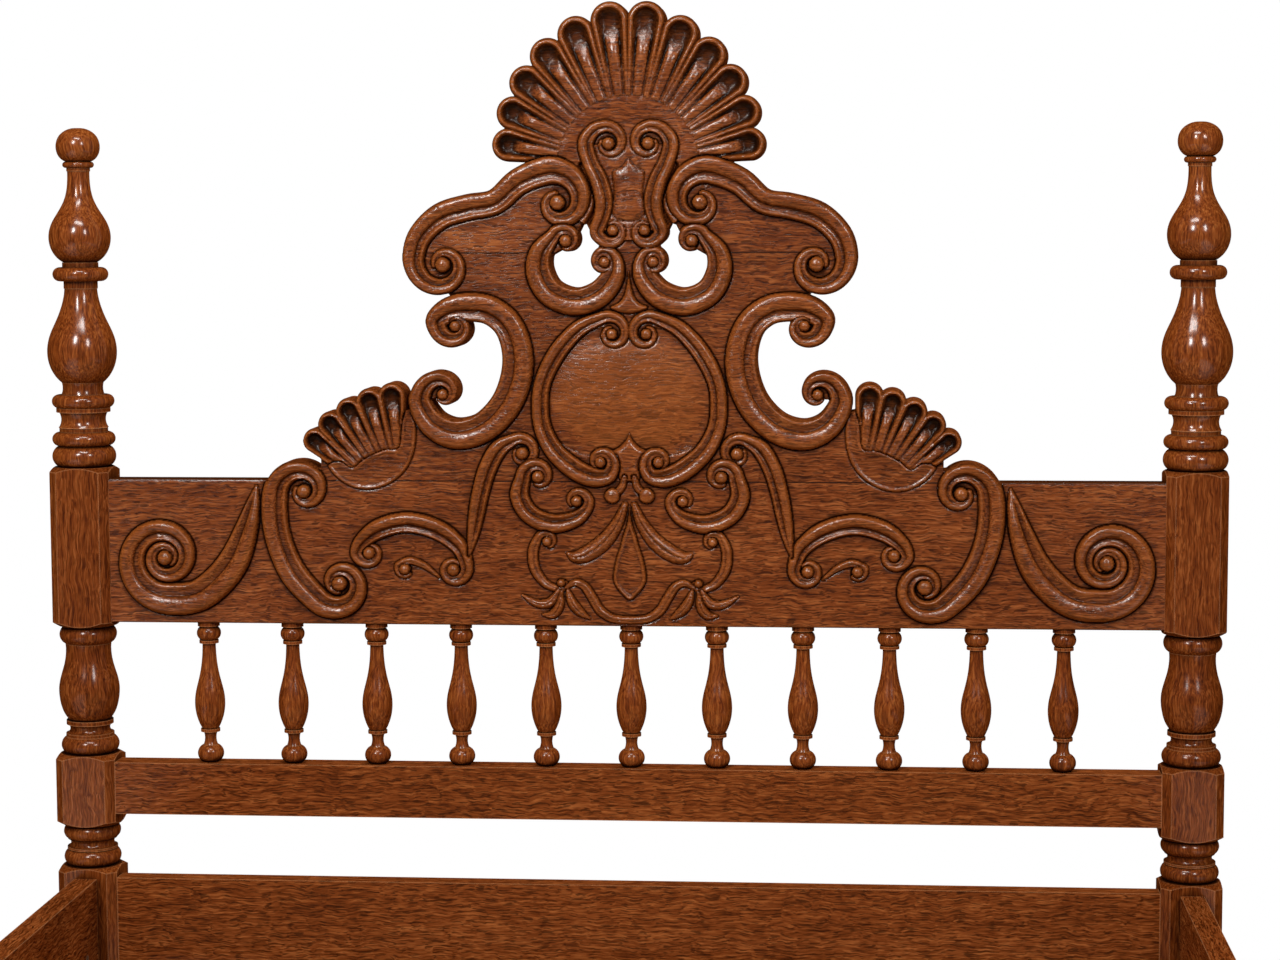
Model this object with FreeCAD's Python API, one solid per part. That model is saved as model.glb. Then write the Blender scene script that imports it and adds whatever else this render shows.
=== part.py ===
"""Double bed with a carved headboard: turned posts, turned spindles, scroll and shell carving.

Millimetres. +Z up, +Y towards the head end, X across the bed, the origin on the floor at the
middle of the bed. The carving is drawn for the right half, as seen from the foot, and mirrored.
Heights in the headboard are measured from the top edge of the side rails.
"""
import FreeCAD
import Part

import math
import os

Vector = FreeCAD.Vector

# ---------------------------------------------------------------- driving dimensions
MATTRESS_WIDTH = 1400.0
MATTRESS_LENGTH = 2000.0
LENGTH_PLAY = 10.0

RAIL_TOP = 430.0
RAIL_HEIGHT = 190.0
RAIL_THICK = 30.0
RAIL_STUB_DEPTH = 15.0
RAIL_STUB_HEIGHT = 110.0
RAIL_STUB_THICK = 14.0

POST_SIZE = 78.0
POST_CHAMFER = 11.0
POST_SHOULDER_DROP = 6.5
LEG_ABOVE_RAIL = 13.0
BLOCK_BELOW_SPINDLE_RAIL = 17.0
BLOCK_ABOVE_SPINDLE_RAIL = 9.0
BLOCK_BELOW_BOARD = 7.0
POST_ABOVE_SEAM = 15.0
BLOCK_ROUND_FOOT_RAIL = 12.0

BOARD_THICK = 40.0
BOARD_SETBACK = 11.0
# How far each layer of the carving stands out from the board: the floor of the shells, the
# bands of the scrolls, the rolls on the bands, and the eyes of the volutes.
FLOOR_RELIEF = 2.0
BAND_RELIEF = 6.0
ROLL_RELIEF = 10.0
EYE_RELIEF = 11.5
EYE_SHARE = 0.8

PANEL_THICK = 28.0
PANEL_HEIGHT = 150.0

SPINDLE_RAIL_THICK = 36.0
SPINDLE_RAIL_HEIGHT = 68.0
SPINDLE_RAIL_GAP = 85.0
SPINDLE_HEIGHT = 185.0
SPINDLE_COUNT = 11
SPINDLE_END_GAP = 124.0
SPINDLE_RADIUS = 19.5
SPINDLE_PIN_RADIUS = 5.0
SPINDLE_PIN_LENGTH = 14.0

LOWER_BOARD_HEIGHT = 186.0
MIDDLE_BOARD_HEIGHT = 291.0

FINIAL_HEIGHT = 437.0
FINIAL_RADIUS = 44.5
FINIAL_PIN_RADIUS = 12.5
FINIAL_PIN_LENGTH = 55.0

FOOT_GALLERY_HEIGHT = 185.0
FOOT_KNOB_HEIGHT = 88.0

TENON_LENGTH = 30.0
TENON_SHARE = 0.4
TENON_SHOULDER = 12.0
FIT_GAP = 0.3
END_GAP = 2.0

LEDGER_WIDTH = 28.0
LEDGER_HEIGHT = 30.0
LEDGER_DROP = 128.0
LEDGER_END_GAP = 20.0
SLAT_COUNT = 14
SLAT_WIDTH = 90.0
SLAT_THICK = 22.0
SLAT_SIDE_GAP = 2.0
SLAT_END_GAP = 60.0

BOLT_RADIUS = 4.0
BOLT_HEAD_RADIUS = 9.0
BOLT_HEAD_HEIGHT = 5.0
BOLT_REACH = 62.0
BOLT_HOLE_EXTRA = 5.0
BOLT_DROP = 95.0
NUT_INSET = 10.0
NUT_RADIUS = 7.0
NUT_LENGTH = 24.0
SCREW_RADIUS = 2.25
SCREW_HEAD_RADIUS = 4.5
SCREW_HEAD_DEPTH = 3.0
LEDGER_SCREW_COUNT = 6
LEDGER_SCREW_LENGTH = 46.0
LEDGER_SCREW_END = 100.0
SLAT_SCREW_LENGTH = 38.0
DOWEL_RADIUS = 6.0
DOWEL_LENGTH = 60.0
LOWER_DOWEL_PLACES = [60.0, 190.0, 330.0]
UPPER_DOWEL_PLACES = [130.0, 200.0]

# Turned profiles, bottom to top. bead: height, end radius, middle radius; cove: height, bottom,
# middle and top radius; fillet: height, radius; vase: height, radii at even steps.
# Heights are shares that are stretched to the height of the turning.
FINIAL_PROFILE = [
    ("bead", 24, 0.74, 0.92), ("bead", 16, 0.70, 0.91), ("fillet", 5, 0.70),
    ("cove", 18, 0.72, 0.64, 0.70), ("fillet", 5, 0.78), ("bead", 15, 0.66, 0.90),
    ("cove", 14, 0.62, 0.58, 0.60), ("vase", 108, [0.60, 0.92, 1.00, 0.92, 0.72, 0.55, 0.47]),
    ("fillet", 9, 0.49), ("bead", 15, 0.52, 0.80), ("fillet", 6, 0.52),
    ("vase", 104, [0.48, 0.82, 0.89, 0.80, 0.58, 0.40, 0.33, 0.32]),
    ("fillet", 4, 0.34), ("bead", 7, 0.34, 0.45), ("cap", 38, 0.36, 0.63),
]
POST_MIDDLE_PROFILE = [
    ("bead", 19, 0.80, 0.96), ("fillet", 4, 0.80), ("cove", 10, 0.78, 0.66, 0.74),
    ("fillet", 5, 0.78), ("vase", 88, [0.68, 0.90, 0.985, 1.00, 0.93, 0.82, 0.755, 0.76]),
    ("bead", 21, 0.76, 0.95),
]
POST_LOWER_PROFILE = [
    ("bead", 21, 0.78, 0.95), ("fillet", 3, 0.84), ("cove", 10, 0.82, 0.72, 0.82),
    ("bead", 20, 0.78, 0.95),
]
FOOT_POST_PROFILE = [
    ("bead", 18, 0.80, 0.95), ("fillet", 4, 0.82), ("cove", 10, 0.80, 0.68, 0.76),
    ("vase", 92, [0.66, 0.93, 1.00, 0.93, 0.74, 0.60, 0.56]), ("fillet", 5, 0.70),
    ("cove", 10, 0.70, 0.64, 0.76), ("bead", 18, 0.78, 0.95),
]
FOOT_KNOB_PROFILE = [
    ("bead", 17, 0.74, 0.92), ("cove", 12, 0.62, 0.42, 0.40), ("bead", 8, 0.42, 0.58),
    ("cap", 51, 0.44, 0.82),
]
SPINDLE_PROFILE = [
    ("bead", 22, 0.52, 0.87), ("cove", 17, 0.48, 0.38, 0.46), ("fillet", 4, 0.64),
    ("vase", 110, [0.54, 0.88, 1.00, 0.93, 0.73, 0.56, 0.47, 0.44]), ("fillet", 4, 0.64),
    ("bead", 18, 0.52, 0.80), ("fillet", 6, 0.73),
]

# ---------------------------------------------------------------- carving, right half
# A scroll runs clockwise with its convex side on its left. Points are x, height and width of
# the band; x from the middle of the headboard. A volute is eye x, eye height, eye radius, turns.
CARVING_HALF_WIDTH = 676.0
CARVING_FOOT = 338.0
SCROLLS = {
    "shoulder": {
        "start": (90, 878, 11, 1.0), "end": (237, 800, 11, 1.05),
        "band": [(104, 919, 36), (140, 905, 34), (170, 880, 32), (205, 873, 33),
                 (240, 862, 33), (266, 838, 31), (275, 812, 29)]},
    "bay": {
        "start": (239, 635, 8, 0.9), "end": (222, 722, 8, 0.9),
        "band": [(268, 622, 30), (251, 596, 34), (222, 584, 38), (188, 593, 39), (160, 620, 40),
                 (145, 655, 41), (143, 690, 40), (154, 722, 38), (176, 741, 37), (202, 746, 37),
                 (228, 743, 34), (246, 731, 28)]},
    "ring": {
        "start": (80, 830, 9, 0.7), "end": (31, 803, 8, 0.75),
        "band": [(97, 835, 18), (112, 815, 28), (114, 790, 33), (100, 765, 34), (70, 753, 35),
                 (40, 762, 34), (22, 782, 30), (17, 800, 22), (22, 813, 16), (31, 817, 14)]},
    "cartouche": {
        "start": (25, 952, 9, 1.05), "end": (20, 843, 8, 0.8),
        "band": [(54, 950, 20), (48, 928, 20), (37, 905, 22), (31, 880, 23), (34, 860, 20),
                 (41, 842, 18)]},
    "medallion": {
        "start": (22, 712, 8, 1.05), "end": (37, 549, 8, 0.8),
        "band": [(36, 732, 16), (65, 718, 20), (92, 688, 22), (110, 652, 21), (114, 620, 21),
                 (110, 590, 22), (95, 562, 24), (70, 540, 26), (48, 530, 25), (30, 530, 20)]},
    "tall": {
        "start": (137, 560, 9, 0.9), "end": None,
        "band": [(151, 576, 16), (168, 565, 22), (182, 540, 23), (191, 510, 22), (197, 480, 20),
                 (202, 452, 14), (207, 428, 4)]},
    "hook": {
        "start": (117, 530, 9, 0.8), "end": (68, 499, 8, 0.6),
        "band": [(137, 527, 20), (141, 505, 24), (128, 482, 24), (100, 470, 24), (72, 475, 20),
                 (57, 486, 15), (52, 497, 13)]},
    "sprig_stem": {
        "start": (106, 447, 7, 0.6), "end": (88, 394, 6, 0.4),
        "band": [(117, 452, 11), (124, 435, 13), (122, 412, 13), (110, 394, 11), (97, 387, 9)]},
    "arch": {
        "start": (227, 410, 9, 0.9), "end": (336, 431, 9, 0.7),
        "band": [(210, 416, 17), (218, 438, 21), (240, 457, 25), (268, 468, 26), (295, 470, 26),
                 (325, 461, 25), (345, 446, 20), (353, 432, 16)]},
    "tail": {
        "start": None, "end": (290, 410, 8, 0.45),
        "band": [(246, 400, 3), (264, 414, 8), (283, 421, 10), (298, 416, 9)]},
    "hip": {
        "start": (420, 510, 10, 1.05), "end": (375, 391, 11, 1.1),
        "band": [(458, 505, 33), (458, 470, 34), (450, 435, 34), (433, 400, 35), (405, 370, 33)]},
    "wing": {
        "start": (603, 423, 11, 1.9), "end": None,
        "band": [(590, 369, 42), (560, 374, 41), (534, 393, 41), (512, 421, 39), (496, 460, 30),
                 (487, 492, 18), (482, 516, 4)]},
}
OUTLINE_SCROLLS = ["shoulder", "bay", "ring", "cartouche", "hip"]
RIBBON = [(0, 346, 10), (22, 348, 11), (38, 358, 12), (48, 374, 12), (58, 389, 11), (70, 394, 9),
          (82, 388, 5)]
LEAVES = [
    [(6, 494, 8), (16, 470, 15), (33, 447, 20), (55, 431, 20), (70, 427, 14), (80, 432, 3)],
    [(80, 384, 5), (74, 368, 12), (64, 356, 11), (52, 348, 3)],
    [(88, 382, 5), (91, 364, 12), (99, 353, 11), (112, 352, 3)],
    [(92, 384, 5), (103, 368, 12), (120, 367, 10), (138, 377, 3)],
]
DROP = (22, 506, 9.5)
FLEUR = [(0, 785), (7, 770), (12, 752), (8, 744), (0, 741)]
STALK = [(6, 530, 8), (10, 517, 9), (18, 508, 10)]
TEARDROP = [(0, 490), (6, 462), (15, 438), (21, 412), (19, 388), (0, 371)]
FIELD_EDGE = [(0, 702), (30, 694), (60, 696), (86, 672), (102, 636), (102, 600), (88, 574),
              (56, 572), (22, 577), (0, 584)]
SHIELD_EDGE = [(0, 934), (10, 922), (20, 916), (18, 890), (21, 866), (14, 857), (0, 854)]

# The mountain behind the scrolls, and the two round windows that are cut out of it.
MOUNTAIN = [(0, 470), (462, 470), (462, 520), (430, 543), (398, 540), (398, 560), (375, 590),
            (340, 612), (300, 616), (276, 614), (255, 597), (222, 584), (188, 593), (160, 620),
            (145, 655), (143, 690), (154, 722), (176, 741), (215, 746), (237, 770), (262, 800),
            (266, 838), (240, 862), (205, 873), (170, 882), (140, 905), (120, 950), (80, 1000),
            (0, 1040)]
WINDOW = [(54, 852), (46, 836), (38, 824), (44, 806), (34, 786), (44, 768), (70, 758),
          (96, 768), (106, 792), (98, 812), (84, 820), (70, 830), (60, 850)]

CREST_SHELL = {"centre": (0, 922), "count": 6, "first": 7.2, "step": 14.4, "reach": 209.0,
               "reach_step": -6.6, "root": 90.0, "lobe": 24.5, "lobe_step": -0.7}
SIDE_SHELL = {"centre": (288, 481), "count": 5, "first": 6.2, "step": 11.2, "reach": 170.0,
              "reach_step": -1.0, "root": 81.0, "lobe": 18.5, "lobe_step": -0.6}
HOLLOW_SHARE = 0.62
LOBE_ROOT_SHARE = 0.55
HOLLOW_ROOT_SHARE = 0.19
DOME_SHARE = 0.82
ROLL_OUTER_SHARE = 0.86
ROLL_INNER_SHARE = -0.04
VOLUTE_STEPS = 12
SIDE_SHELL_BASE = [(284, 625), (276, 610), (274, 585), (277, 562), (286, 541), (303, 524),
                   (325, 514), (347, 513), (366, 520), (381, 532), (388, 545), (372, 550),
                   (357, 541), (344, 551), (329, 559), (313, 565), (296, 568), (292, 600)]

# ---------------------------------------------------------------- derived places
POST_HALF = POST_SIZE / 2
POST_X = (MATTRESS_WIDTH + RAIL_THICK) / 2
CLEAR_HALF = POST_X - POST_HALF
INNER_LENGTH = MATTRESS_LENGTH + LENGTH_PLAY
HEAD_Y = (INNER_LENGTH + POST_SIZE) / 2
FOOT_Y = -HEAD_Y

SPINDLE_RAIL_LOW = RAIL_TOP + SPINDLE_RAIL_GAP
SPINDLE_RAIL_HIGH = SPINDLE_RAIL_LOW + SPINDLE_RAIL_HEIGHT
BOARD_LOW = SPINDLE_RAIL_HIGH + SPINDLE_HEIGHT
LOWER_SEAM = BOARD_LOW + LOWER_BOARD_HEIGHT
UPPER_SEAM = LOWER_SEAM + MIDDLE_BOARD_HEIGHT
LEG_TOP = RAIL_TOP + LEG_ABOVE_RAIL
HEAD_BLOCK_LOW = SPINDLE_RAIL_LOW - BLOCK_BELOW_SPINDLE_RAIL
HEAD_BLOCK_HIGH = SPINDLE_RAIL_HIGH + BLOCK_ABOVE_SPINDLE_RAIL
TOP_BLOCK_LOW = BOARD_LOW - BLOCK_BELOW_BOARD
POST_TOP = LOWER_SEAM + POST_ABOVE_SEAM
FRONT_Y = HEAD_Y - POST_HALF + BOARD_SETBACK
BOARD_BACK_Y = FRONT_Y + BOARD_THICK
SPINDLE_Y = FRONT_Y + SPINDLE_RAIL_THICK / 2
FOOT_FRONT_Y = FOOT_Y + POST_HALF - BOARD_SETBACK
FOOT_SPINDLE_Y = FOOT_FRONT_Y - SPINDLE_RAIL_THICK / 2
FOOT_RAIL_LOW = RAIL_TOP + FOOT_GALLERY_HEIGHT
FOOT_RAIL_HIGH = FOOT_RAIL_LOW + SPINDLE_RAIL_HEIGHT
FOOT_BLOCK_LOW = FOOT_RAIL_LOW - BLOCK_ROUND_FOOT_RAIL
FOOT_BLOCK_HIGH = FOOT_RAIL_HIGH + BLOCK_ROUND_FOOT_RAIL
SLAT_LOW = RAIL_TOP - LEDGER_DROP
LEDGER_LOW = SLAT_LOW - LEDGER_HEIGHT
BOLT_Z = RAIL_TOP - BOLT_DROP

CARVING_X_SCALE = CLEAR_HALF / CARVING_HALF_WIDTH


# ---------------------------------------------------------------- small helpers
def box(x0, x1, y0, y1, z0, z1):
    return Part.makeBox(x1 - x0, y1 - y0, z1 - z0, Vector(x0, y0, z0))


def rod(radius, start, end):
    along = end.sub(start)
    return Part.makeCylinder(radius, along.Length, start, along)


def fuse(shapes):
    if len(shapes) == 1:
        return shapes[0]
    return shapes[0].multiFuse(shapes[1:]).removeSplitter()


def mirror_x(shape):
    return shape.mirror(Vector(0, 0, 0), Vector(1, 0, 0))


def save(name, shape):
    solids = shape.Solids
    kept = solids[0] if len(solids) == 1 else Part.makeCompound(solids)
    kept.exportStep("parts/" + name + ".step")
    print("%-22s solids %3d  volume %12.0f  valid %s" % (name, len(solids), kept.Volume, kept.isValid()))


# ---------------------------------------------------------------- turning
def arc_edge(a, b, c):
    return Part.Arc(a, b, c).toShape()


def smooth_edge(points):
    curve = Part.BSplineCurve()
    curve.interpolate(points)
    return curve.toShape()


def turned(profile, radius, low, high):
    """A solid of revolution about the Z axis, from a list of turned members."""
    shares = sum(member[1] for member in profile)
    scale = (high - low) / shares
    edges = []
    last = Vector(0, 0, low)
    z = low

    def line_to(target):
        nonlocal last
        if target.distanceToPoint(last) > 1e-6:
            edges.append(Part.LineSegment(last, target).toShape())
        last = target

    for member in profile:
        kind, height = member[0], member[1] * scale
        top = z + height
        middle = z + height / 2
        if kind == "fillet":
            r = member[2] * radius
            line_to(Vector(r, 0, z))
            line_to(Vector(r, 0, top))
        elif kind == "bead":
            r, bulge = member[2] * radius, member[3] * radius
            line_to(Vector(r, 0, z))
            end = Vector(r, 0, top)
            edges.append(arc_edge(last, Vector(bulge, 0, middle), end))
            last = end
        elif kind == "cove":
            r0, r1, r2 = (share * radius for share in member[2:5])
            line_to(Vector(r0, 0, z))
            end = Vector(r2, 0, top)
            edges.append(arc_edge(last, Vector(r1, 0, middle), end))
            last = end
        elif kind == "vase":
            radii = member[2]
            steps = len(radii) - 1
            points = [Vector(r * radius, 0, z + height * i / steps) for i, r in enumerate(radii)]
            line_to(points[0])
            edges.append(smooth_edge(points))
            last = points[-1]
        elif kind == "cap":
            neck, bulge = member[2] * radius, member[3] * radius
            line_to(Vector(neck, 0, z))
            swell = z + height * 0.46
            points = [last, Vector(bulge * 0.93, 0, z + height * 0.22), Vector(bulge, 0, swell),
                      Vector(bulge * 0.86, 0, z + height * 0.76),
                      Vector(bulge * 0.5, 0, z + height * 0.95), Vector(0, 0, top)]
            edges.append(smooth_edge(points))
            last = points[-1]
        z = top
    line_to(Vector(0, 0, high))
    line_to(Vector(0, 0, low))
    face = Part.Face(Part.Wire(edges))
    return face.revolve(Vector(0, 0, 0), Vector(0, 0, 1), 360)


def post_block(low, high, round_low=True, round_high=True):
    """A square block with chamfered corners, its ends rounded off by the turning."""
    c = POST_CHAMFER
    h = POST_HALF
    corners = [(-h + c, -h), (h - c, -h), (h, -h + c), (h, h - c), (h - c, h), (-h + c, h),
               (-h, h - c), (-h, -h + c)]
    points = [Vector(x, y, low) for x, y in corners]
    face = Part.Face(Part.makePolygon(points + [points[0]]))
    block = face.extrude(Vector(0, 0, high - low))
    corner_reach = math.hypot(h, h - c) + 1.0
    inner = h - 1.0
    rounding = [(0, low)]
    if round_low:
        rounding += [(inner, low), (corner_reach, low + POST_SHOULDER_DROP)]
    else:
        rounding += [(corner_reach, low)]
    if round_high:
        rounding += [(corner_reach, high - POST_SHOULDER_DROP), (inner, high)]
    else:
        rounding += [(corner_reach, high)]
    rounding += [(0, high)]
    points = [Vector(r, 0, z) for r, z in rounding]
    shell = Part.Face(Part.makePolygon(points + [points[0]]))
    return block.common(shell.revolve(Vector(0, 0, 0), Vector(0, 0, 1), 360))


# ---------------------------------------------------------------- joints between pieces
def tenon(x_side, y0, y1, z0, z1, gap=0.0):
    """The tenon of a cross piece in a post, or, with a gap, the mortise that takes it."""
    thick = (y1 - y0) * TENON_SHARE
    middle = (y0 + y1) / 2
    reach = TENON_LENGTH + (END_GAP if gap else 0.0)
    x0, x1 = sorted((x_side * CLEAR_HALF, x_side * (CLEAR_HALF + reach)))
    return box(x0, x1, middle - thick / 2 - gap, middle + thick / 2 + gap,
               z0 + TENON_SHOULDER - gap, z1 - TENON_SHOULDER + gap)


CROSS_PIECES_HEAD = [
    (FRONT_Y, BOARD_BACK_Y, BOARD_LOW, LOWER_SEAM),
    (FRONT_Y, FRONT_Y + SPINDLE_RAIL_THICK, SPINDLE_RAIL_LOW, SPINDLE_RAIL_HIGH),
    (FRONT_Y, FRONT_Y + PANEL_THICK, RAIL_TOP - PANEL_HEIGHT, RAIL_TOP),
]
CROSS_PIECES_FOOT = [
    (FOOT_FRONT_Y - SPINDLE_RAIL_THICK, FOOT_FRONT_Y, FOOT_RAIL_LOW, FOOT_RAIL_HIGH),
    (FOOT_FRONT_Y - SPINDLE_RAIL_THICK, FOOT_FRONT_Y, RAIL_TOP - PANEL_HEIGHT, RAIL_TOP),
]


def cross_piece(y0, y1, z0, z1):
    body = box(-CLEAR_HALF, CLEAR_HALF, y0, y1, z0, z1)
    return fuse([body, tenon(-1, y0, y1, z0, z1), tenon(1, y0, y1, z0, z1)])


def rail_stub(x, post_y, gap=0.0):
    """The stub on the end of a side rail, or, with a gap, its socket in the post."""
    inward = -1 if post_y > 0 else 1
    face_y = post_y + inward * POST_HALF
    deep = RAIL_STUB_DEPTH + (END_GAP if gap else 0.0)
    y0, y1 = sorted((face_y, face_y - inward * deep))
    middle = RAIL_TOP - RAIL_HEIGHT / 2
    half = RAIL_STUB_HEIGHT / 2 + gap
    side = RAIL_STUB_THICK / 2 + gap
    return box(x - side, x + side, y0, y1, middle - half, middle + half)


def bolt_hole(x, post_y):
    """The straight hole for a bed bolt, from the outer face of a post into the rail end."""
    outward = 1 if post_y > 0 else -1
    outer = post_y + outward * (POST_HALF + 1.0)
    inner = post_y - outward * (POST_HALF + BOLT_REACH + BOLT_HOLE_EXTRA)
    return rod(BOLT_RADIUS + FIT_GAP, Vector(x, outer, BOLT_Z), Vector(x, inner, BOLT_Z))


# ---------------------------------------------------------------- posts
def head_post(x):
    post = fuse([
        post_block(0, LEG_TOP, round_low=False),
        turned(POST_LOWER_PROFILE, POST_HALF, LEG_TOP, HEAD_BLOCK_LOW),
        post_block(HEAD_BLOCK_LOW, HEAD_BLOCK_HIGH),
        turned(POST_MIDDLE_PROFILE, POST_HALF, HEAD_BLOCK_HIGH, TOP_BLOCK_LOW),
        post_block(TOP_BLOCK_LOW, POST_TOP),
    ])
    post.translate(Vector(x, HEAD_Y, 0))
    side = -1 if x > 0 else 1
    cuts = [tenon(-side, y0, y1, z0, z1, FIT_GAP) for y0, y1, z0, z1 in CROSS_PIECES_HEAD]
    cuts += [rail_stub(x, HEAD_Y, FIT_GAP), bolt_hole(x, HEAD_Y)]
    pin_low = POST_TOP - FINIAL_PIN_LENGTH - END_GAP
    cuts.append(rod(FINIAL_PIN_RADIUS + FIT_GAP, Vector(x, HEAD_Y, pin_low),
                    Vector(x, HEAD_Y, POST_TOP + 1)))
    return post.cut(fuse(cuts))


def head_finial(x):
    top = POST_TOP + FINIAL_HEIGHT
    piece = turned(FINIAL_PROFILE, FINIAL_RADIUS, POST_TOP, top)
    pin = rod(FINIAL_PIN_RADIUS, Vector(0, 0, POST_TOP - FINIAL_PIN_LENGTH), Vector(0, 0, POST_TOP + 5))
    piece = fuse([piece, pin])
    piece.translate(Vector(x, HEAD_Y, 0))
    return piece


def foot_post(x):
    post = fuse([
        post_block(0, LEG_TOP, round_low=False),
        turned(FOOT_POST_PROFILE, POST_HALF, LEG_TOP, FOOT_BLOCK_LOW),
        post_block(FOOT_BLOCK_LOW, FOOT_BLOCK_HIGH),
        turned(FOOT_KNOB_PROFILE, POST_HALF, FOOT_BLOCK_HIGH, FOOT_BLOCK_HIGH + FOOT_KNOB_HEIGHT),
    ])
    post.translate(Vector(x, FOOT_Y, 0))
    side = -1 if x > 0 else 1
    cuts = [tenon(-side, y0, y1, z0, z1, FIT_GAP) for y0, y1, z0, z1 in CROSS_PIECES_FOOT]
    cuts += [rail_stub(x, FOOT_Y, FIT_GAP), bolt_hole(x, FOOT_Y)]
    return post.cut(fuse(cuts))


# ---------------------------------------------------------------- spindles and rails
def spindle_places():
    pitch = 2 * (CLEAR_HALF - SPINDLE_END_GAP) / (SPINDLE_COUNT - 1)
    first = -pitch * (SPINDLE_COUNT - 1) / 2
    return [first + pitch * i for i in range(SPINDLE_COUNT)]


def spindle(x, y, low, high):
    body = turned(SPINDLE_PROFILE, SPINDLE_RADIUS, low, high)
    pin = rod(SPINDLE_PIN_RADIUS, Vector(0, 0, low - SPINDLE_PIN_LENGTH),
              Vector(0, 0, high + SPINDLE_PIN_LENGTH))
    piece = fuse([body, pin])
    piece.translate(Vector(x, y, 0))
    return piece


def spindle_sockets(y, z, upward):
    """Blind holes for the spindle pins, into the piece above or below the height z."""
    deep = SPINDLE_PIN_LENGTH + END_GAP
    z0, z1 = (z - 1, z + deep) if upward else (z - deep, z + 1)
    radius = SPINDLE_PIN_RADIUS + FIT_GAP
    return [rod(radius, Vector(x, y, z0), Vector(x, y, z1)) for x in spindle_places()]


# ---------------------------------------------------------------- flat shapes of the carving
def carve_point(x, height):
    """A point of the carving, in the plane of the headboard's face."""
    return Vector(x * CARVING_X_SCALE, FRONT_Y, BOARD_LOW + height - CARVING_FOOT)


def flat_face(edges):
    """A flat face in the plane of the headboard's face, looking forwards."""
    face = Part.Face(Part.Wire(edges))
    if face.normalAt(0, 0).y > 0:
        face.reverse()
    return face


def line_edge(start, end):
    return Part.LineSegment(start, end).toShape()


def polygon_face(points):
    corners = [carve_point(x, z) for x, z in points]
    return flat_face([line_edge(a, b) for a, b in zip(corners, corners[1:] + corners[:1])])


def round_face(x, height, radius):
    circle = Part.Circle(carve_point(x, height), Vector(0, -1, 0), radius)
    return flat_face([circle.toShape()])


def arc_chain(points):
    """Arcs through the points, three at a time; a line where three are in line."""
    edges = []
    for start, middle, end in zip(points[::2], points[1::2], points[2::2]):
        bend = middle.sub(start).cross(end.sub(middle)).Length
        in_line = bend < 1e-3 * middle.sub(start).Length * end.sub(middle).Length
        edges.append(line_edge(start, end) if in_line else arc_edge(start, middle, end))
    return edges


def band_places(points):
    """Places along a band, two to each step: x, height, half width and the way to its left."""
    line = Part.BSplineCurve()
    given = [Vector(x, width / 2, z) for x, z, width in points]
    line.interpolate(given)
    stops = [line.parameter(point) for point in given]
    places = []
    for i in range(2 * len(points) - 1):
        parameter = (stops[i // 2] + stops[(i + 1) // 2]) / 2
        place = line.value(parameter)
        along = line.tangent(parameter)[0]
        length = math.hypot(along.x, along.z)
        places.append((place.x, place.z, place.y, -along.z / length, along.x / length))
    return places


def band_face(points, left_share=1.0, right_share=1.0):
    """The flat shape of a band, from shares of its half width on each side of its middle."""
    places = band_places(points)
    left = [carve_point(x + nx * half * left_share, z + nz * half * left_share)
            for x, z, half, nx, nz in places]
    right = [carve_point(x - nx * half * right_share, z - nz * half * right_share)
             for x, z, half, nx, nz in places[::-1]]
    return flat_face(arc_chain(left) + [line_edge(left[-1], right[0])] + arc_chain(right)
                     + [line_edge(right[-1], left[0])])


def volute_face(volute, entry, turn):
    """The flat shape of a volute: the outer edge of its last full turn, closed by a step."""
    eye_x, eye_z, eye_radius, turns = volute
    x, z, width = entry
    start = math.hypot(x - eye_x, z - eye_z)
    first = math.atan2(z - eye_z, x - eye_x)
    points = []
    for i in range(VOLUTE_STEPS + 1):
        share = i / VOLUTE_STEPS
        shrink = (eye_radius / start) ** (share / turns)
        reach = (start + width / 2) * shrink
        angle = first + turn * share * 2 * math.pi
        points.append(carve_point(eye_x + reach * math.cos(angle), eye_z + reach * math.sin(angle)))
    return flat_face(arc_chain(points) + [line_edge(points[-1], points[0])])


def union(faces):
    """One flat shape from faces that lie in the same plane."""
    return faces[0].multiFuse(faces[1:]).removeSplitter() if len(faces) > 1 else faces[0]


def scroll_ends(scroll):
    """The volutes of a scroll: each with the place where its band enters it and its turn."""
    band = scroll["band"]
    ends = [(scroll["start"], band[0], 1), (scroll["end"], band[-1], -1)]
    return [end for end in ends if end[0]]


def scroll_face(name):
    scroll = SCROLLS[name]
    return union([band_face(scroll["band"])] + [volute_face(*end) for end in scroll_ends(scroll)])


def scroll_eyes(name):
    return [round_face(x, z, radius * EYE_SHARE) for (x, z, radius, _), _, _ in scroll_ends(SCROLLS[name])]


def lobe_face(root, tip, root_half, tip_radius, angle):
    """A tapered strip with a round end, from the root of a lobe to its tip."""
    ax, az = math.cos(angle), -math.sin(angle)
    left_root = carve_point(root[0] - ax * root_half, root[1] - az * root_half)
    right_root = carve_point(root[0] + ax * root_half, root[1] + az * root_half)
    left_tip = carve_point(tip[0] - ax * tip_radius, tip[1] - az * tip_radius)
    right_tip = carve_point(tip[0] + ax * tip_radius, tip[1] + az * tip_radius)
    crown = carve_point(tip[0] + math.sin(angle) * tip_radius, tip[1] + math.cos(angle) * tip_radius)
    return flat_face([line_edge(left_root, left_tip), arc_edge(left_tip, crown, right_tip),
                      line_edge(right_tip, right_root), line_edge(right_root, left_root)])


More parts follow.
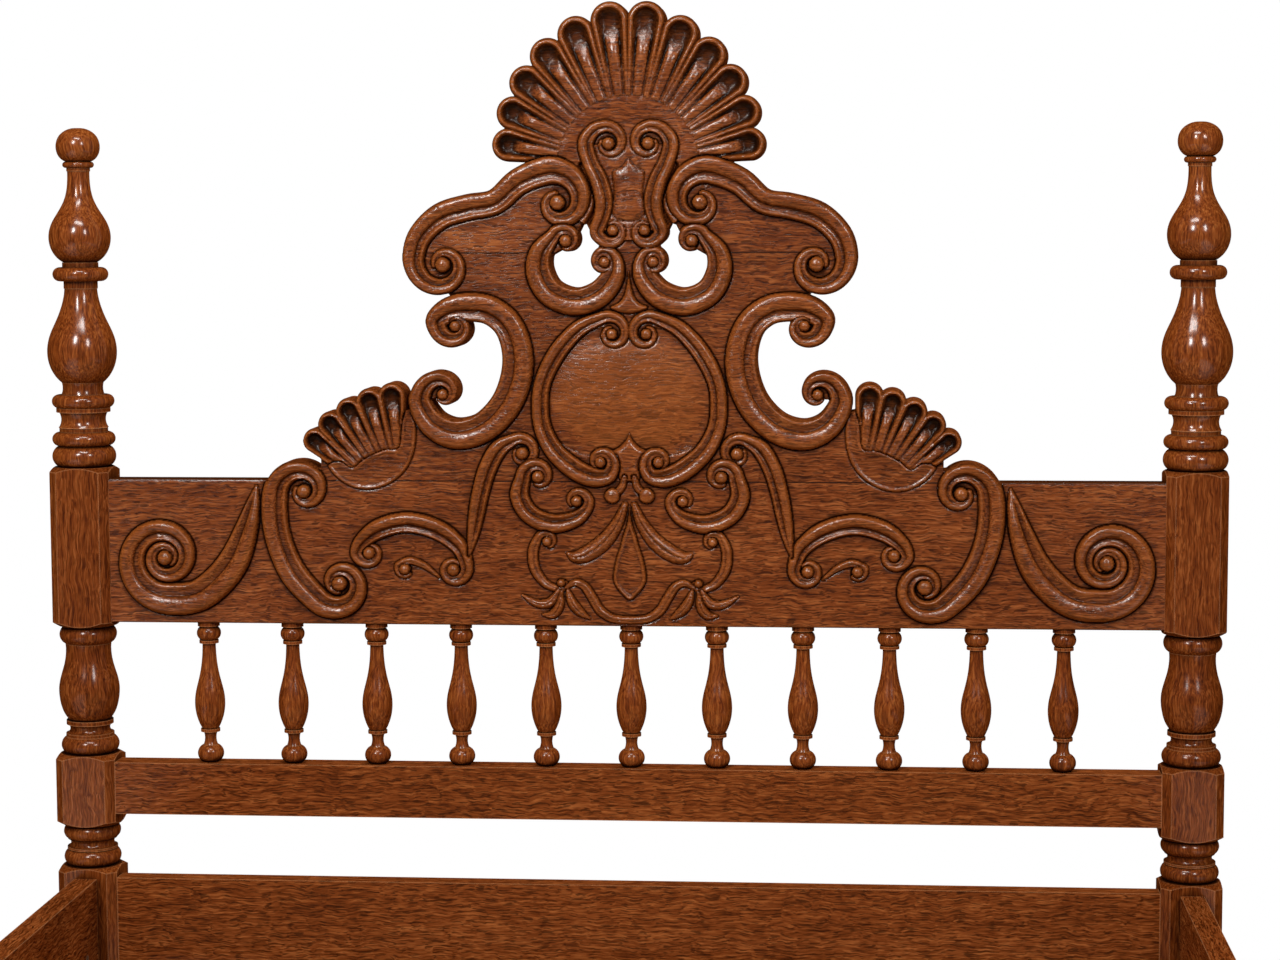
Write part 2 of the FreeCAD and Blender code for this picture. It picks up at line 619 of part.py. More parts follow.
def shell_faces(shell):
    """The lobes of a shell, and the same lobes with their hollows left out."""
    centre_x, centre_z = shell["centre"]
    lobes, rims = [], []
    for i in range(shell["count"]):
        angle = math.radians(shell["first"] + shell["step"] * i)
        radius = shell["lobe"] + shell["lobe_step"] * i
        reach = shell["reach"] + shell["reach_step"] * i - radius
        root, tip = [(centre_x + r * math.sin(angle), centre_z + r * math.cos(angle))
                     for r in (shell["root"], reach)]
        lobe = lobe_face(root, tip, radius * LOBE_ROOT_SHARE, radius, angle)
        hollow = lobe_face(root, tip, radius * HOLLOW_ROOT_SHARE, radius * HOLLOW_SHARE, angle)
        lobes.append(lobe)
        rims.append(lobe.cut(hollow))
    return lobes, rims


def shrunk(points):
    """The inner outline of a raised field, which still reaches the middle of the headboard."""
    middle_x = sum(x for x, _ in points) / len(points)
    middle_z = sum(z for _, z in points) / len(points)
    return [(x and middle_x + (x - middle_x) * DOME_SHARE, middle_z + (z - middle_z) * DOME_SHARE)
            for x, z in points]


# ---------------------------------------------------------------- carved boards
def carving_layers():
    """The carving's right half: how deep each layer starts and ends, and its flat shape."""
    crest_lobes, crest_rims = shell_faces(CREST_SHELL)
    side_lobes, side_rims = shell_faces(SIDE_SHELL)
    scrolls = {name: scroll_face(name) for name in SCROLLS}

    mountain = polygon_face(MOUNTAIN).cut(polygon_face(WINDOW))
    lower_half = [(0, CARVING_FOOT), (CARVING_HALF_WIDTH, CARVING_FOOT),
                  (CARVING_HALF_WIDTH, CARVING_FOOT + LOWER_BOARD_HEIGHT),
                  (0, CARVING_FOOT + LOWER_BOARD_HEIGHT)]
    board = [polygon_face(lower_half), mountain] + crest_lobes + side_lobes
    board += [scrolls[name] for name in OUTLINE_SCROLLS]

    drop_x, drop_z, drop_radius = DROP
    eyes = [eye for name in SCROLLS for eye in scroll_eyes(name)]
    rolls = [band_face(scroll["band"], ROLL_OUTER_SHARE, ROLL_INNER_SHARE)
             for scroll in SCROLLS.values()] + crest_rims + side_rims
    bands = list(scrolls.values()) + [band_face(points) for points in LEAVES + [RIBBON, STALK]]
    bands += [polygon_face(points) for points in (TEARDROP, FLEUR)]
    bands += [polygon_face(shrunk(points)) for points in (FIELD_EDGE, SHIELD_EDGE)]
    bands.append(round_face(drop_x, drop_z, drop_radius))
    floors = crest_lobes + side_lobes
    floors += [polygon_face(points) for points in (FIELD_EDGE, SHIELD_EDGE, SIDE_SHELL_BASE)]

    return [
        (-BOARD_THICK, 0.0, union(board)),
        (0.0, FLOOR_RELIEF, union(floors + bands + rolls + eyes)),
        (FLOOR_RELIEF, BAND_RELIEF, union(bands + rolls + eyes)),
        (BAND_RELIEF, ROLL_RELIEF, union(rolls + eyes)),
        (ROLL_RELIEF, EYE_RELIEF, union(eyes)),
    ]


def carved_half():
    """The carving's right half, with its layers stacked on one another."""
    solids = []
    for start, end, shape in carving_layers():
        for flat in shape.Faces:
            face = flat.copy()
            face.translate(Vector(0, -start, 0))
            solids.append(face.extrude(Vector(0, start - end, 0)))
    return solids[0].multiFuse(solids[1:])


def dowel_rods(places, seam, radius, length):
    y = (FRONT_Y + BOARD_BACK_Y) / 2
    low, high = seam - length / 2, seam + length / 2
    return [rod(radius, Vector(side * x, y, low), Vector(side * x, y, high))
            for x in places for side in (-1, 1)]


def dowels(gap=0.0):
    """The dowels in both seams, or, with a gap, the holes that take them."""
    length = DOWEL_LENGTH + (2 * END_GAP if gap else 0.0)
    return (dowel_rods(LOWER_DOWEL_PLACES, LOWER_SEAM, DOWEL_RADIUS + gap, length)
            + dowel_rods(UPPER_DOWEL_PLACES, UPPER_SEAM, DOWEL_RADIUS + gap, length))


def carved_boards():
    right = carved_half()
    levels = [BOARD_LOW, LOWER_SEAM, UPPER_SEAM, right.BoundBox.ZMax + 1.0]
    holes = fuse(dowels(FIT_GAP) + spindle_sockets(SPINDLE_Y, BOARD_LOW, True))
    boards = []
    for low, high in zip(levels, levels[1:]):
        part = right.common(box(0, CLEAR_HALF, FRONT_Y - 2 * EYE_RELIEF, BOARD_BACK_Y, low, high))
        boards.append(fuse([part, mirror_x(part)]).cut(holes))
    ends = [tenon(side, FRONT_Y, BOARD_BACK_Y, BOARD_LOW, LOWER_SEAM) for side in (-1, 1)]
    boards[0] = fuse([boards[0]] + ends)
    return boards


# ---------------------------------------------------------------- side rails, ledgers, slats
def side_rail(x):
    side = 1 if x > 0 else -1
    half = INNER_LENGTH / 2
    body = box(x - RAIL_THICK / 2, x + RAIL_THICK / 2, -half, half, RAIL_TOP - RAIL_HEIGHT, RAIL_TOP)
    rail = fuse([body, rail_stub(x, HEAD_Y), rail_stub(x, FOOT_Y)])
    cuts = ledger_screws(side, FIT_GAP)
    for post_y in (HEAD_Y, FOOT_Y):
        cuts += [bolt_hole(x, post_y), barrel_nut(x, post_y, FIT_GAP)]
    return rail.cut(fuse(cuts))


def nut_y(post_y):
    outward = 1 if post_y > 0 else -1
    return post_y - outward * (POST_HALF + BOLT_REACH - NUT_INSET)


def barrel_nut(x, post_y, gap=0.0):
    """A cross nut from the inner face of a side rail, or, with a gap, the hole that takes it."""
    inward = -1 if x > 0 else 1
    face = x + inward * RAIL_THICK / 2
    start = face + inward * (1.0 if gap else 0.0)
    end = face - inward * (NUT_LENGTH + gap)
    y = nut_y(post_y)
    return rod(NUT_RADIUS + gap, Vector(start, y, BOLT_Z), Vector(end, y, BOLT_Z))


def bed_bolt(x, post_y):
    outward = 1 if post_y > 0 else -1
    face = post_y + outward * POST_HALF
    tip = post_y - outward * (POST_HALF + BOLT_REACH)
    shank = rod(BOLT_RADIUS, Vector(x, face, BOLT_Z), Vector(x, tip, BOLT_Z))
    head = rod(BOLT_HEAD_RADIUS, Vector(x, face, BOLT_Z),
               Vector(x, face + outward * BOLT_HEAD_HEIGHT, BOLT_Z))
    return fuse([shank, head])


def ledger_screw_places():
    reach = INNER_LENGTH / 2 - LEDGER_SCREW_END
    step = 2 * reach / (LEDGER_SCREW_COUNT - 1)
    return [-reach + step * i for i in range(LEDGER_SCREW_COUNT)]


def screw(head, drive, length, gap=0.0):
    """A countersunk screw from the middle of its head, or, with a gap, the hole that takes it."""
    shank = rod(SCREW_RADIUS + gap, head.sub(drive * gap), head.add(drive * (length + gap)))
    cone = Part.makeCone(SCREW_HEAD_RADIUS + gap, SCREW_RADIUS + gap, SCREW_HEAD_DEPTH, head, drive)
    return fuse([shank, cone])


def ledger_screws(side, gap=0.0):
    """The screws through a ledger into the inner face of its side rail."""
    head_x = side * (POST_X - RAIL_THICK / 2 - LEDGER_WIDTH)
    z = LEDGER_LOW + LEDGER_HEIGHT / 2
    return [screw(Vector(head_x, y, z), Vector(side, 0, 0), LEDGER_SCREW_LENGTH, gap)
            for y in ledger_screw_places()]


def ledger(side):
    face = side * (POST_X - RAIL_THICK / 2)
    x0, x1 = sorted((face, face - side * LEDGER_WIDTH))
    half = INNER_LENGTH / 2 - LEDGER_END_GAP
    strip = box(x0, x1, -half, half, LEDGER_LOW, SLAT_LOW)
    cuts = ledger_screws(side, FIT_GAP)
    for y in slat_places():
        cuts += slat_screws(y, FIT_GAP)
    return strip.cut(fuse(cuts))


def slat_places():
    reach = INNER_LENGTH / 2 - SLAT_END_GAP - SLAT_WIDTH / 2
    step = 2 * reach / (SLAT_COUNT - 1)
    return [-reach + step * i for i in range(SLAT_COUNT)]


def slat_screws(y, gap=0.0):
    """The two screws that hold a slat on the ledgers."""
    x = POST_X - RAIL_THICK / 2 - LEDGER_WIDTH / 2
    return [screw(Vector(side * x, y, SLAT_LOW + SLAT_THICK), Vector(0, 0, -1), SLAT_SCREW_LENGTH, gap)
            for side in (-1, 1)]


def slat(y):
    half = POST_X - RAIL_THICK / 2 - SLAT_SIDE_GAP
    board = box(-half, half, y - SLAT_WIDTH / 2, y + SLAT_WIDTH / 2, SLAT_LOW, SLAT_LOW + SLAT_THICK)
    return board.cut(fuse(slat_screws(y, FIT_GAP)))


# ---------------------------------------------------------------- writing the pieces
def save_posts_and_rails():
    for word, side in (("left", -1), ("right", 1)):
        x = side * POST_X
        save("head_post_" + word, head_post(x))
        save("head_finial_" + word, head_finial(x))
        save("foot_post_" + word, foot_post(x))
        save("side_rail_" + word, side_rail(x))
        save("slat_ledger_" + word, ledger(side))


def save_headboard():
    lower, middle, crest = carved_boards()
    save("carved_board_lower", lower)
    save("carved_board_middle", middle)
    save("carved_board_crest", crest)
    save("board_dowels", Part.makeCompound(dowels()))
    head_rail = cross_piece(*CROSS_PIECES_HEAD[1])
    save("head_rail", head_rail.cut(fuse(spindle_sockets(SPINDLE_Y, SPINDLE_RAIL_HIGH, False))))
    save("head_panel", cross_piece(*CROSS_PIECES_HEAD[2]))
    for number, x in enumerate(spindle_places(), start=1):
        save("head_spindle_%02d" % number, spindle(x, SPINDLE_Y, SPINDLE_RAIL_HIGH, BOARD_LOW))


def save_foot_end():
    foot_rail = cross_piece(*CROSS_PIECES_FOOT[0])
    save("foot_rail", foot_rail.cut(fuse(spindle_sockets(FOOT_SPINDLE_Y, FOOT_RAIL_LOW, True))))
    foot_panel = cross_piece(*CROSS_PIECES_FOOT[1])
    save("foot_panel", foot_panel.cut(fuse(spindle_sockets(FOOT_SPINDLE_Y, RAIL_TOP, False))))
    for number, x in enumerate(spindle_places(), start=1):
        save("foot_spindle_%02d" % number, spindle(x, FOOT_SPINDLE_Y, RAIL_TOP, FOOT_RAIL_LOW))


def save_slats_and_fasteners():
    for number, y in enumerate(slat_places(), start=1):
        save("slat_%02d" % number, slat(y))
    corners = [(x, y) for x in (-POST_X, POST_X) for y in (HEAD_Y, FOOT_Y)]
    save("bed_bolts", Part.makeCompound([bed_bolt(x, y) for x, y in corners]))
    nuts = [barrel_nut(x, y).cut(bed_bolt(x, y)) for x, y in corners]
    save("barrel_nuts", Part.makeCompound(nuts))
    save("ledger_screws", Part.makeCompound(ledger_screws(-1) + ledger_screws(1)))
    save("slat_screws", Part.makeCompound([s for y in slat_places() for s in slat_screws(y)]))


def main():
    os.makedirs("parts", exist_ok=True)
    save_posts_and_rails()
    save_headboard()
    save_foot_end()
    save_slats_and_fasteners()


main()
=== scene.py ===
"""Looks of a carved double bed: turned posts and spindles, and a headboard of scrolls and shells.

The carving is one relief. It is worked out on a grid for the right half, as seen from the foot,
mirrored, and cut into the three boards. Its sizes are millimetres: x from the middle of the
headboard, and height from the top edge of the side rails. Everything else is in metres.
"""

import math

import bmesh
import bpy
import numpy as np
from mathutils import Matrix, Vector


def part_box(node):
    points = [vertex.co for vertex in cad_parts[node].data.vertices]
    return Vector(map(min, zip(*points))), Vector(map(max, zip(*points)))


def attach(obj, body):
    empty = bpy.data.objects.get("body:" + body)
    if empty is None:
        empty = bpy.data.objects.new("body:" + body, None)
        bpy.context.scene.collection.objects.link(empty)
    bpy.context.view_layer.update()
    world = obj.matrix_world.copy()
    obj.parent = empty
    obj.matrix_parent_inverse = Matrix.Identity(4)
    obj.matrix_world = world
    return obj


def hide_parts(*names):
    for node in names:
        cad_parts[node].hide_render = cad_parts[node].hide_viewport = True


MM = 0.001
LOW, HIGH = 0, 1
BOARD_NODES = ("carved_board_lower", "carved_board_middle", "carved_board_crest")

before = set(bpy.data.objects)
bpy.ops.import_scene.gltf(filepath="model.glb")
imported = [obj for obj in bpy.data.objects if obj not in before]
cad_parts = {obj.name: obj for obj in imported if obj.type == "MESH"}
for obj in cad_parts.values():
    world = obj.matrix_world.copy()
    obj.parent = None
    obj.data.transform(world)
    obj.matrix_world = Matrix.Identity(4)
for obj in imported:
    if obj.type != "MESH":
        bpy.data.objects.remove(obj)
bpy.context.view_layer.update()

# ---- places taken from the frame
HALF_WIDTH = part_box("head_post_right")[LOW].x / MM
RAIL_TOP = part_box("side_rail_right")[HIGH].z
FRONT_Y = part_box("head_panel")[LOW].y
BOARD_BACK_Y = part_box("carved_board_lower")[HIGH].y
BOARD_LOW, LOWER_SEAM, UPPER_SEAM = [(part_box(node)[LOW].z - RAIL_TOP) / MM
                                     for node in BOARD_NODES]
CREST_TOP = (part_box("carved_board_crest")[HIGH].z - RAIL_TOP) / MM

# ---- the carving, right half
# A scroll runs clockwise with its convex side on its left. Points are x, height and width of
# the band. A volute is eye x, eye height, eye radius, turns.
SCROLLS = {
    "shoulder": {
        "start": (90, 878, 11, 1.0), "end": (237, 800, 11, 1.05),
        "band": [(104, 919, 36), (140, 905, 34), (170, 880, 32), (205, 873, 33),
                 (240, 862, 33), (266, 838, 31), (275, 812, 29)]},
    "bay": {
        "start": (239, 635, 8, 0.9), "end": (222, 722, 8, 0.9),
        "band": [(268, 622, 30), (251, 596, 34), (222, 584, 38), (188, 593, 39), (160, 620, 40),
                 (145, 655, 41), (143, 690, 40), (154, 722, 38), (176, 741, 37), (202, 746, 37),
                 (228, 743, 34), (246, 731, 28)]},
    "ring": {
        "start": (80, 830, 9, 0.7), "end": (31, 803, 8, 0.75),
        "band": [(97, 835, 18), (112, 815, 28), (114, 790, 33), (100, 765, 34), (70, 753, 35),
                 (40, 762, 34), (22, 782, 30), (17, 800, 22), (22, 813, 16), (31, 817, 14)]},
    "cartouche": {
        "start": (25, 952, 9, 1.05), "end": (20, 843, 8, 0.8),
        "band": [(54, 950, 20), (48, 928, 20), (37, 905, 22), (31, 880, 23), (34, 860, 20),
                 (41, 842, 18)]},
    "medallion": {
        "start": (22, 712, 8, 1.05), "end": (37, 549, 8, 0.8),
        "band": [(36, 732, 16), (65, 718, 20), (92, 688, 22), (110, 652, 21), (114, 620, 21),
                 (110, 590, 22), (95, 562, 24), (70, 540, 26), (48, 530, 25), (30, 530, 20)]},
    "tall": {
        "start": (137, 560, 9, 0.9), "end": None,
        "band": [(151, 576, 16), (168, 565, 22), (182, 540, 23), (191, 510, 22), (197, 480, 20),
                 (202, 452, 14), (207, 428, 4)]},
    "hook": {
        "start": (117, 530, 9, 0.8), "end": (68, 499, 8, 0.6),
        "band": [(137, 527, 20), (141, 505, 24), (128, 482, 24), (100, 470, 24), (72, 475, 20),
                 (57, 486, 15), (52, 497, 13)]},
    "sprig_stem": {
        "start": (106, 447, 7, 0.6), "end": (88, 394, 6, 0.4),
        "band": [(117, 452, 11), (124, 435, 13), (122, 412, 13), (110, 394, 11), (97, 387, 9)]},
    "arch": {
        "start": (227, 410, 9, 0.9), "end": (336, 431, 9, 0.7),
        "band": [(210, 416, 17), (218, 438, 21), (240, 457, 25), (268, 468, 26), (295, 470, 26),
                 (325, 461, 25), (345, 446, 20), (353, 432, 16)]},
    "tail": {
        "start": None, "end": (290, 410, 8, 0.45),
        "band": [(246, 400, 3), (264, 414, 8), (283, 421, 10), (298, 416, 9)]},
    "hip": {
        "start": (420, 510, 10, 1.05), "end": (375, 391, 11, 1.1),
        "band": [(458, 505, 33), (458, 470, 34), (450, 435, 34), (433, 400, 35), (405, 370, 33)]},
    "wing": {
        "start": (603, 423, 11, 1.9), "end": None,
        "band": [(590, 369, 42), (560, 374, 41), (534, 393, 41), (512, 421, 39), (496, 460, 30),
                 (487, 492, 18), (482, 516, 4)]},
}
OUTLINE_SCROLLS = ["shoulder", "bay", "ring", "cartouche", "hip"]
# From the rearmost to the foremost. Between the two lists lie the clefts, the fleur and the
# palmette.
REAR_SCROLLS = ["wing", "hip", "tail", "arch", "tall", "bay", "shoulder", "ring"]
FRONT_SCROLLS = ["medallion", "hook", "sprig_stem", "cartouche"]
RIBBON = [(0, 346, 10), (22, 348, 11), (38, 358, 12), (48, 374, 12), (58, 389, 11), (70, 394, 9),
          (82, 388, 5)]
LEAVES = [
    [(6, 494, 8), (16, 470, 15), (33, 447, 20), (55, 431, 20), (70, 427, 14), (80, 432, 3)],
    [(80, 384, 5), (74, 368, 12), (64, 356, 11), (52, 348, 3)],
    [(88, 382, 5), (91, 364, 12), (99, 353, 11), (112, 352, 3)],
    [(92, 384, 5), (103, 368, 12), (120, 367, 10), (138, 377, 3)],
]
STALK = [(6, 530, 8), (10, 517, 9), (18, 508, 10)]
DROP = (22, 506, 9.5)
# The right halves of the plates on the middle.
FLEUR = [(0, 792), (3, 772), (7, 759), (14, 751), (24, 746), (16, 741), (0, 738)]
PALMETTE = [(0, 586), (5, 576), (13, 568), (21, 563), (16, 556), (12, 544), (13, 528), (0, 524)]
TEARDROP = [(0, 490), (3, 470), (8, 455), (12, 440), (17, 425), (20, 410), (21, 400), (18, 390),
            (10, 380), (0, 372)]
SHIELD = [(0, 934), (10, 922), (20, 916), (18, 890), (21, 866), (14, 857), (0, 854)]
# The smooth field in the medallion, a slightly squared oval.
FIELD_CENTRE = (0, 637)
FIELD_RADII = (103, 74)
FIELD_POWER = 2.4
FIELD_WARMTH = 0.6
CREVICE = [(60, 925, 9), (42, 890, 10), (42, 870, 10), (52, 852, 9)]
# The ground between the scrolls, from a little past the middle, and the window in it.
MOUNTAIN = [(-20, 470), (462, 470), (462, 520), (430, 543), (398, 540), (398, 560), (375, 590),
            (340, 612), (300, 616), (276, 614), (255, 597), (222, 584), (188, 593), (160, 620),
            (145, 655), (143, 690), (154, 722), (176, 741), (215, 746), (237, 770), (262, 800),
            (266, 838), (240, 862), (205, 873), (170, 882), (140, 905), (120, 950), (80, 1000),
            (0, 1040), (-20, 1040)]
WINDOW = [(54, 852), (46, 836), (38, 824), (44, 806), (34, 786), (44, 768), (70, 758),
          (96, 768), (106, 792), (98, 812), (84, 820), (70, 830), (60, 850)]
SIDE_BASE = [(284, 625), (276, 610), (274, 585), (277, 562), (286, 541), (303, 524), (325, 514),
             (347, 513), (366, 520), (381, 532), (388, 545), (372, 550), (357, 541), (344, 551),
             (329, 559), (313, 565), (296, 568), (292, 600)]

# A shell fans its lobes round its centre. Lobes start at the root's distance and end at the
# reach. Angles are degrees to the right of straight up.
CREST_SHELL = {"centre": (0, 922), "count": 6, "first": 7.2, "step": 14.4, "reach": 209.0,
               "reach_step": -6.6, "root": 90.0, "lobe": 24.5, "lobe_step": -0.7}
SIDE_SHELL = {"centre": (288, 481), "count": 5, "first": 6.2, "step": 11.2, "reach": 170.0,
              "reach_step": -1.0, "root": 81.0, "lobe": 18.5, "lobe_step": -0.6}

# ---- how the carving is cut
# The grid, and how finely lines, plates and volutes are cut up.
GRID_STEP = 1.25
ROOM_ABOVE_CREST = 4.0
LINE_STEPS = 6
PLATE_STEPS = 4
STEPS_PER_TURN = 12
ROOM_ROUND_LINE = 14.0
LEAST_HALF_WIDTH = 0.4
# What a place holds before anything comes near it.
FAR_OUTSIDE = -40.0
FAR_ACROSS = 50.0
OFF_SHELL = -1e3
FAR_AWAY = 1e6
# Too small to divide by.
NO_LENGTH = 1e-6
NO_SLOPE = 1e-9
NO_WEIGHT = 1e-6

GROOVE_DEPTH = 1.6
GROOVE_WIDTH = 2.6
GROOVE_POWER = 1.5
# A band stands out by its foot and by a share of its width, up to its top.
BAND_TOP = 11.5
BAND_FOOT = 1.0
BAND_RISE = 0.40
SLIM_WIDTH = 11.0
FULL_WIDTH = 17.0
LEAF_TOP = 6.0
RIBBON_TOP = 5.5
EYE_TOP = 11.5
EYE_SHARE = 0.84
SMALL_EYE_TOP = 9.0
SMALL_EYE_RADIUS = 8
DROP_TOP = 8.0
BALL_FOOT_SHARE = 0.45
BALL_GROOVE_SHARE = 2.0
VOLUTE_FLOOR = -1.0
VOLUTE_INSET = 1.0
CREVICE_DEPTH = 7.0

# A shell's lobe. Places across it are shares of its half width, and places along it shares of
# its length from the root to the tip.
CREST_RIM_TOP = 10.0
SIDE_RIM_TOP = 9.0
LOBE_ROOT_SHARE = 0.55
LOBE_EDGE = 0.24
LOBE_HOLLOW = 0.68
LOBE_RIB = 0.40
HOLLOW_POWER = 3
RIM_AT_ROOT = 0.62
RIM_RISES = (0.0, 0.8)
RIM_FOOT = 0.22
HOLLOW_AT_ROOT = 0.42
HOLLOW_DEEPENS = (0.25, 0.95)
RIB_HEIGHT = 0.92
RIB_SINKS = (0.55, 0.93)
CREST_BASE_RADIUS = 91
CREST_BASE_FLOOR = 2.0
CREST_BASE_RISE = 2.5
CREST_BASE_SLOPE = (50, 89)

# How far a plate stands out, how wide its rounded edge is, and how deep it is inside its rim.
PLATE_CUTS = {
    "side_base": {"top": 3.4, "slope": 3.0, "rim": 1.2},
    "fleur": {"top": 5.5, "slope": 6.0},
    "palmette": {"top": 6.5, "slope": 7.0},
    "teardrop": {"top": 5.5, "slope": 3.0, "rim": 2.5},
    "shield": {"top": 4.5, "slope": 14.0},
}
RIM_WALL = 2.5
FIELD_FLOOR = -1.5
FIELD_RISE = 5.0
FIELD_DOME_POWER = 0.85
FIELD_REACH = 1.4
FIELD_WARM_SLOPE = 2.5

# The round towards the outline, and the straight lower board, which keeps its crisp edges.
EDGE_DROP = 3.0
EDGE_ROUND = 9.0
EDGE_TOP = 16.0
STRAIGHT_FOOT = 30.0
STRAIGHT_EDGE_SHARE = 6.0
STRAIGHT_DROP = 0.8
STRAIGHT_LEAD = 1.0
CRISP_BELOW_SEAM = 40.0
FOOT_ROUND = 3.0
FOOT_DROP = 1.5
FOOT_RISE = 40.0

# The boards' meshes.
MOST_TRIANGLES = 180000
MOST_SNAP = 1.3 * GRID_STEP
LEAST_STEEPNESS = 0.2
SHARP_ANGLE = 55
FRONT_DEPTH = 4.0
# Places stay this far before the end of the grid, so that each has a next one.
GRID_END = 1.001

# How wide the blurred reliefs are, how far a place lies under or over them to count in full,
# and its share then.
BLUR_REACH = 3
BLUR_BROAD = 11.0
BLUR_WIDE = 5.0
BLUR_FINE = 1.8
# The cavity terms paint shade into the hollows, and the lobe terms deepen it in the shells.
WIDE_CAVITY = (3.6, 0.50)
FINE_CAVITY = (0.9, 0.55)
LOBE_CAVITY = (3.6, 0.75)
LOBE_CAVITY_START = 0.4
CAVITY_INSET = 2.5
# The crown terms paint a highlight onto the raised carving.
WIDE_CROWN = (4.0, 0.6)
FINE_CROWN = (0.9, 0.5)
WORKED_HEIGHT = 1.5

# Across a band, from its convex edge to its concave one: a roll, a cove and a thin bead.
BAND_PROFILE = [(0.0, 0.05), (0.012, 0.34), (0.04, 0.58), (0.09, 0.80), (0.15, 0.93), (0.22, 0.99),
                (0.30, 1.0), (0.38, 0.97), (0.46, 0.90), (0.52, 0.80), (0.56, 0.68), (0.585, 0.52),
                (0.60, 0.43), (0.62, 0.45), (0.66, 0.44), (0.72, 0.46), (0.78, 0.53), (0.83, 0.63),
                (0.87, 0.70), (0.91, 0.70), (0.95, 0.58), (0.985, 0.28), (1.0, 0.05)]
SLIM_PROFILE = [(0.0, 0.1), (0.05, 0.45), (0.15, 0.75), (0.30, 0.95), (0.45, 0.98), (0.55, 0.78),
                (0.62, 0.70), (0.70, 0.80), (0.80, 0.80), (0.92, 0.52), (1.0, 0.1)]
LEAF_PROFILE = [(0.0, 0.15), (0.08, 0.50), (0.25, 0.85), (0.38, 1.0), (0.46, 0.85), (0.50, 0.55),
                (0.54, 0.85), (0.62, 1.0), (0.75, 0.85), (0.92, 0.50), (1.0, 0.15)]


# ---- lines and rounds
def whole(half):
    """A closed outline from its right half, which starts and ends on the middle."""
    return half + [(-x, z) for x, z in half[-2:0:-1]]


def smooth_line(points, steps=LINE_STEPS):
    """A smooth line through the points, each span cut into steps."""
    given = np.array(points, float)
    ends = np.vstack([2 * given[0] - given[1], given, 2 * given[-1] - given[-2]])
    places = []
    for a, b, c, d in zip(ends, ends[1:], ends[2:], ends[3:]):
        for i in range(steps):
            t = i / steps
            places.append(0.5 * (2 * b + (c - a) * t + (2 * a - 5 * b + 4 * c - d) * t ** 2
                                 + (3 * b - a - 3 * c + d) * t ** 3))
    places.append(given[-1])
    return np.array(places)


def volute_entry(volute, entry):
    """How far from the eye a band enters its volute, and at what angle."""
    eye_x, eye_z = volute[:2]
    x, z = entry[:2]
    return math.hypot(x - eye_x, z - eye_z), math.atan2(z - eye_z, x - eye_x)


def volute_line(volute, entry, turn):
    """Places from where a band enters its volute to the eye: x, height, width."""
    eye_x, eye_z, eye_radius, turns = volute
    width = entry[2]
    start, first = volute_entry(volute, entry)
    count = math.ceil(turns * STEPS_PER_TURN)
    places = []
    for i in range(1, count + 1):
        share = i / count
        radius = start * (eye_radius / start) ** share
        angle = first + turn * turns * share * 2 * math.pi
        places.append((eye_x + radius * math.cos(angle), eye_z + radius * math.sin(angle),
                       width * radius / start))
    return places


def scroll_ends(scroll):
    """The volutes of a scroll: each with the place where its band enters it and its turn."""
    band = scroll["band"]
    ends = [(scroll["start"], band[0], 1), (scroll["end"], band[-1], -1)]
    return [end for end in ends if end[0]]


def scroll_line(scroll):
    """The whole run of a scroll, with the spiral of each of its volutes."""
    run = list(scroll["band"])
    for volute, entry, turn in scroll_ends(scroll):
        spiral = volute_line(volute, entry, turn)
        run = spiral[::-1] + run if turn > 0 else run + spiral
    return smooth_line(run)


def lobe_line(shell, i):
    """The root and the tip of a shell's lobe, with the widths there."""
    centre_x, centre_z = shell["centre"]
    angle = math.radians(shell["first"] + shell["step"] * i)
    radius = shell["lobe"] + shell["lobe_step"] * i
    reach = shell["reach"] + shell["reach_step"] * i - radius
    root, tip = [(centre_x + r * math.sin(angle), centre_z + r * math.cos(angle))
                 for r in (shell["root"], reach)]
    return [(*root, 2 * radius * LOBE_ROOT_SHARE), (*tip, 2 * radius)]


def profile(table, u):
    """The height of a profile at each place across it."""
    places, heights = zip(*table)
    return np.interp(u, places, heights)


def eased(share, low, high):
    """A smooth step from 0 at low to 1 at high."""
    t = np.clip((share - low) / (high - low), 0, 1)
    return t * t * (3 - 2 * t)


def fade(start, end, share):
    """From start at share 0 to end at share 1."""
    return start + (end - start) * share


def rounded(share):
    """A quarter round that rises from 0 at share 0 to 1 at share 1."""
    return np.sqrt(np.clip(1 - (1 - share) ** 2, 0, 1))


def domed(share, power=2):
    """A dome that falls from 1 at share 0 to 0 at share 1."""
    return np.sqrt(np.clip(1 - share ** power, 0, 1))


